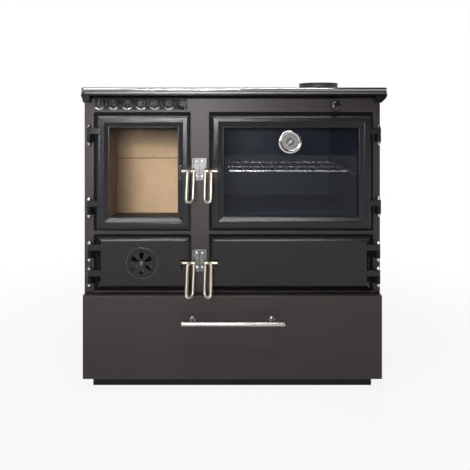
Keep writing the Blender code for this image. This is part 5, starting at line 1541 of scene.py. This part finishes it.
def drawerBar():
    low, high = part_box("drawer_bar")
    radius, post, foot = bar["radius"], bar["postRadius"], bar["footRadius"]
    y, z, seat = low.y + radius, middleOf("drawer_bar", "z")[0], high.y
    ends = [(pip, low.x, 0), (radius, low.x, bar["endRound"]), (radius, high.x, bar["endRound"]), (pip, high.x, 0)]
    parts = [lathed("rod", ends, "X", (y, z), 40, looks["satin"], 4)]
    neck = seat - bar["foot"]
    shape = [(pip, seat, 0), (foot, seat, 0.0006), (foot, neck, 0.0022), (post + 0.0006, neck - 0.0004, 0.0012),
             (post, neck - 0.0030, 0.0018), (post, y, 0)]
    middle = middleOf("drawer_front", "x")[0]
    for side in (-1, 1):
        parts.append(lathed("post", shape, "Y", (middle + side * bar["spacing"] / 2, z), 36, looks["satin"], 4))
    settle(joined("drawerBar", *parts), "drawer", "chrome", "drawer_bar")


drawerFront()
dressed("drawerBox", "drawer_box", "drawer", "grey_sheet", 0.0005, 2)
drawerBar()
print("drawer is folded")


# Damper knob on its rod

# the knob's corners are shares of its radius and length, and how far each is rounded
knob = {"standoff": 0.010, "radius": 0.016, "rod": 0.004, "disc": 0.003, "root": 0.001,
        "shape": ((0.55, 0, 0.005), (0.98, 0.20, 0.005), (0.94, 0.42, 0.006), (0.50, 0.78, 0.006))}


def damper():
    low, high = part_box("damper_rod")
    spot = middleOf("damper_rod", "xz")
    root, radius = bodyFace - knob["standoff"], knob["radius"]
    shape = [(pip, low.y, 0)] + [(radius * out, low.y + (root - low.y) * share, ease)
                                 for out, share, ease in knob["shape"]]
    shape += [(radius * 0.40, root - knob["root"], 0.002), (knob["rod"], root, 0.0004)]
    reach, disc = high.x - spot[0], high.y - knob["disc"]
    shape += [(knob["rod"], disc, 0.0006), (reach, disc, 0.0004), (reach, high.y, 0.0004), (pip, high.y, 0)]
    rod = lathed("damperRod", shape, "Y", spot, 48, looks["knob"], 6, crease=40)
    settle(rod, "damper", "black_gloss", "damper_rod")


damper()
print("damper is in")


# Oven: enamelled liner, wire rack

rack = {"rail": 0.003, "wire": 0.002, "pitch": 0.032, "wires": 11, "middleRail": 0.134, "bend": 0.012}


def rackTree():
    # a round-cornered rod frame with wires across it, and one rail under them
    tree, get = treeOf("wireRack", Width="Float", Depth="Float", Bend="Float", Wires="Int", Pitch="Float",
                       Rail="Float", Wire="Float", Middle="Float", Centre="Vector", Material="Material")

    def scaled(value, share):
        return worked(tree, "MULTIPLY", value, share)

    def spotAt(**along):
        return place(tree, "ShaderNodeCombineXYZ", along).outputs[0]

    def ringOf(radius, steps):
        return place(tree, "GeometryNodeCurvePrimitiveCircle", {"Resolution": steps, "Radius": radius}).outputs[0]

    def straight(start, end, ring):
        line = place(tree, "GeometryNodeCurvePrimitiveLine", {"Start": start, "End": end})
        inputs = {"Curve": line.outputs[0], "Profile Curve": ring, "Fill Caps": True}
        return place(tree, "GeometryNodeCurveToMesh", inputs).outputs[0]

    wireRing = ringOf(get["Wire"], 12)
    outline = place(tree, "GeometryNodeCurvePrimitiveQuadrilateral", {"Width": get["Width"], "Height": get["Depth"]})
    bent = place(tree, "GeometryNodeFilletCurve", {"Curve": outline.outputs[0], "Radius": get["Bend"], "Count": 6},
                 mode="POLY")
    rim = place(tree, "GeometryNodeCurveToMesh", {"Curve": bent.outputs[0], "Profile Curve": ringOf(get["Rail"], 16)})
    depthHalf, widthHalf = scaled(get["Depth"], 0.5), scaled(get["Width"], 0.5)
    wire = straight(spotAt(Y=scaled(depthHalf, -1.0)), spotAt(Y=depthHalf), wireRing)
    run = scaled(worked(tree, "SUBTRACT", get["Wires"], 1.0), get["Pitch"])
    inputs = {"Count": get["Wires"], "Start Location": spotAt(X=scaled(run, -0.5)), "Offset": spotAt(X=get["Pitch"])}
    line = place(tree, "GeometryNodeMeshLine", inputs)
    across = place(tree, "GeometryNodeInstanceOnPoints", {"Points": line.outputs[0], "Instance": wire})
    drop = worked(tree, "SUBTRACT", get["Wire"], get["Rail"])
    under = straight(spotAt(X=scaled(widthHalf, -1.0), Y=get["Middle"], Z=drop),
                     spotAt(X=widthHalf, Y=get["Middle"], Z=drop), wireRing)
    moved = [place(tree, "GeometryNodeTransform", {"Geometry": made, "Translation": get["Centre"]}).outputs[0]
             for made in (rim.outputs[0], across.outputs[0], under)]
    return endTree(tree, get, *moved)


def ovenRack():
    low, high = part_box("oven_rack")
    rod, pitch, wires = rack["rail"], rack["pitch"], rack["wires"]
    width, depth = high.x - low.x - 2 * rod, high.y - low.y - 2 * rod
    middle = (low + high) / 2
    inputs = {"Width": width, "Depth": depth, "Bend": rack["bend"], "Wires": wires, "Pitch": pitch, "Rail": rod,
              "Wire": rack["wire"], "Middle": rack["middleRail"] - depth / 2, "Centre": tuple(middle),
              "Material": looks["wire"]}
    made = grown("ovenRack", [(0, 0, 0)], [], rackTree(), inputs)
    made.data.shade_smooth()
    settle(made, "rack", "chrome", "oven_rack")
    ball = [(pip, -rod, 0), (rod, -rod, rod), (rod, rod, rod), (pip, rod, 0)]
    bead = lathed("weld", ball, "Z", (0, 0), 14, looks["weld"], 5)
    first = middle.x - pitch * (wires - 1) / 2
    spots = [(first + pitch * k, low.y + rod, middle.z) for k in range(wires)]
    settle(scattered("rackWelds", bead, spots, "weld"), "rack", "chrome")
    cleared(bead)


dressed("ovenLiner", "oven_liner", "stove", "oven_enamel", 0.0012, 3)
ovenRack()
print("oven is lined")


# Firebox, ash pan and what lies behind

def firebox():
    for name in ("back_lower", "back_upper", "left", "right"):
        title = "brick" + "".join(word.capitalize() for word in name.split("_"))
        dressed(title, "fire_brick_" + name, "stove", "fire_brick", 0.0014, 3)
    dressed("fireGrate", "grate", "stove", "bare_cast", 0.0010, 3)
    dressed("ashPan", "ash_pan", "pan", "grey_sheet", 0.0005, 2)


backPanel = {"thin": 0.0006, "liner": 0.0002, "beads": 3, "beadHalf": 0.006, "beadDeep": 0.0018, "beadSteps": 8,
             "beadFrom": 0.09, "beadEnd": 0.012, "columns": 12, "screws": 6, "screwInset": 0.014,
             "screwSunk": 0.0017}


def backSheet():
    low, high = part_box("back_panel")
    face = high.y - backPanel["thin"]
    # rows of points up the sheet, each with how far it is pressed in
    rows = [(low.z, 0.0)]
    for middle in evenly(low.z, high.z, backPanel["beads"] + 2)[1:-1]:
        for share in evenly(0, 1, backPanel["beadSteps"] + 1):
            rows.append((middle + backPanel["beadHalf"] * (2 * share - 1),
                         backPanel["beadDeep"] * math.sin(math.pi * share) ** 2))
    rows.append((high.z, 0.0))
    start, end = low.x + backPanel["beadFrom"], high.x - backPanel["beadFrom"]
    xs = [low.x, start, *evenly(start + backPanel["beadEnd"], end - backPanel["beadEnd"], backPanel["columns"] + 1),
          end, high.x]
    across, up = len(xs), len(rows)
    layer = across * up
    points, faces = [], []
    for side in (0, 1):
        for r, (z, deep) in enumerate(rows):
            for c, x in enumerate(xs):
                pressed = deep if 2 <= c <= across - 3 else 0.0
                points.append((x, low.y + backPanel["liner"] if side else face - pressed, z))
                if r < up - 1 and c < across - 1:
                    a = side * layer + r * across + c
                    faces.append((a, a + 1, a + 1 + across, a + across))
    rim = [*range(across), *(r * across + across - 1 for r in range(1, up)),
           *((up - 1) * across + c for c in range(across - 2, -1, -1)), *(r * across for r in range(up - 2, 0, -1))]
    for a, b in zip(rim, rim[1:] + rim[:1]):
        faces.append((a, b, b + layer, a + layer))
    sheet = skinOf("backPanel", points, faces, looks["grey_sheet"], crease=45)
    settle(sheet, "stove", "grey_sheet", "back_panel")
    spots = rimSpots(low, high, backPanel["screwInset"], high.y - backPanel["screwSunk"], backPanel["screws"],
                     backPanel["screws"])
    screws = scattered("backScrews", patterns["smallScrew"], spots, "bright_steel", facingBack, math.pi, 11)
    settle(screws, "stove", "bright_steel")


firebox()
backSheet()
cleared(*patterns.values())
print("firebox and back are made")


# What stays as the solids have it gets its finish

kept = {"base_panel": "grey_sheet", "shelf": "grey_sheet", "drawer_runner_left": "grey_sheet",
        "drawer_runner_right": "grey_sheet", "divider": "grey_sheet", "smoke_partition": "grey_sheet",
        "firebox_floor": "bare_cast"}
for node, slot in kept.items():
    painted(frame["nodes"][node].data, looks[slot])
print("finishes are on")
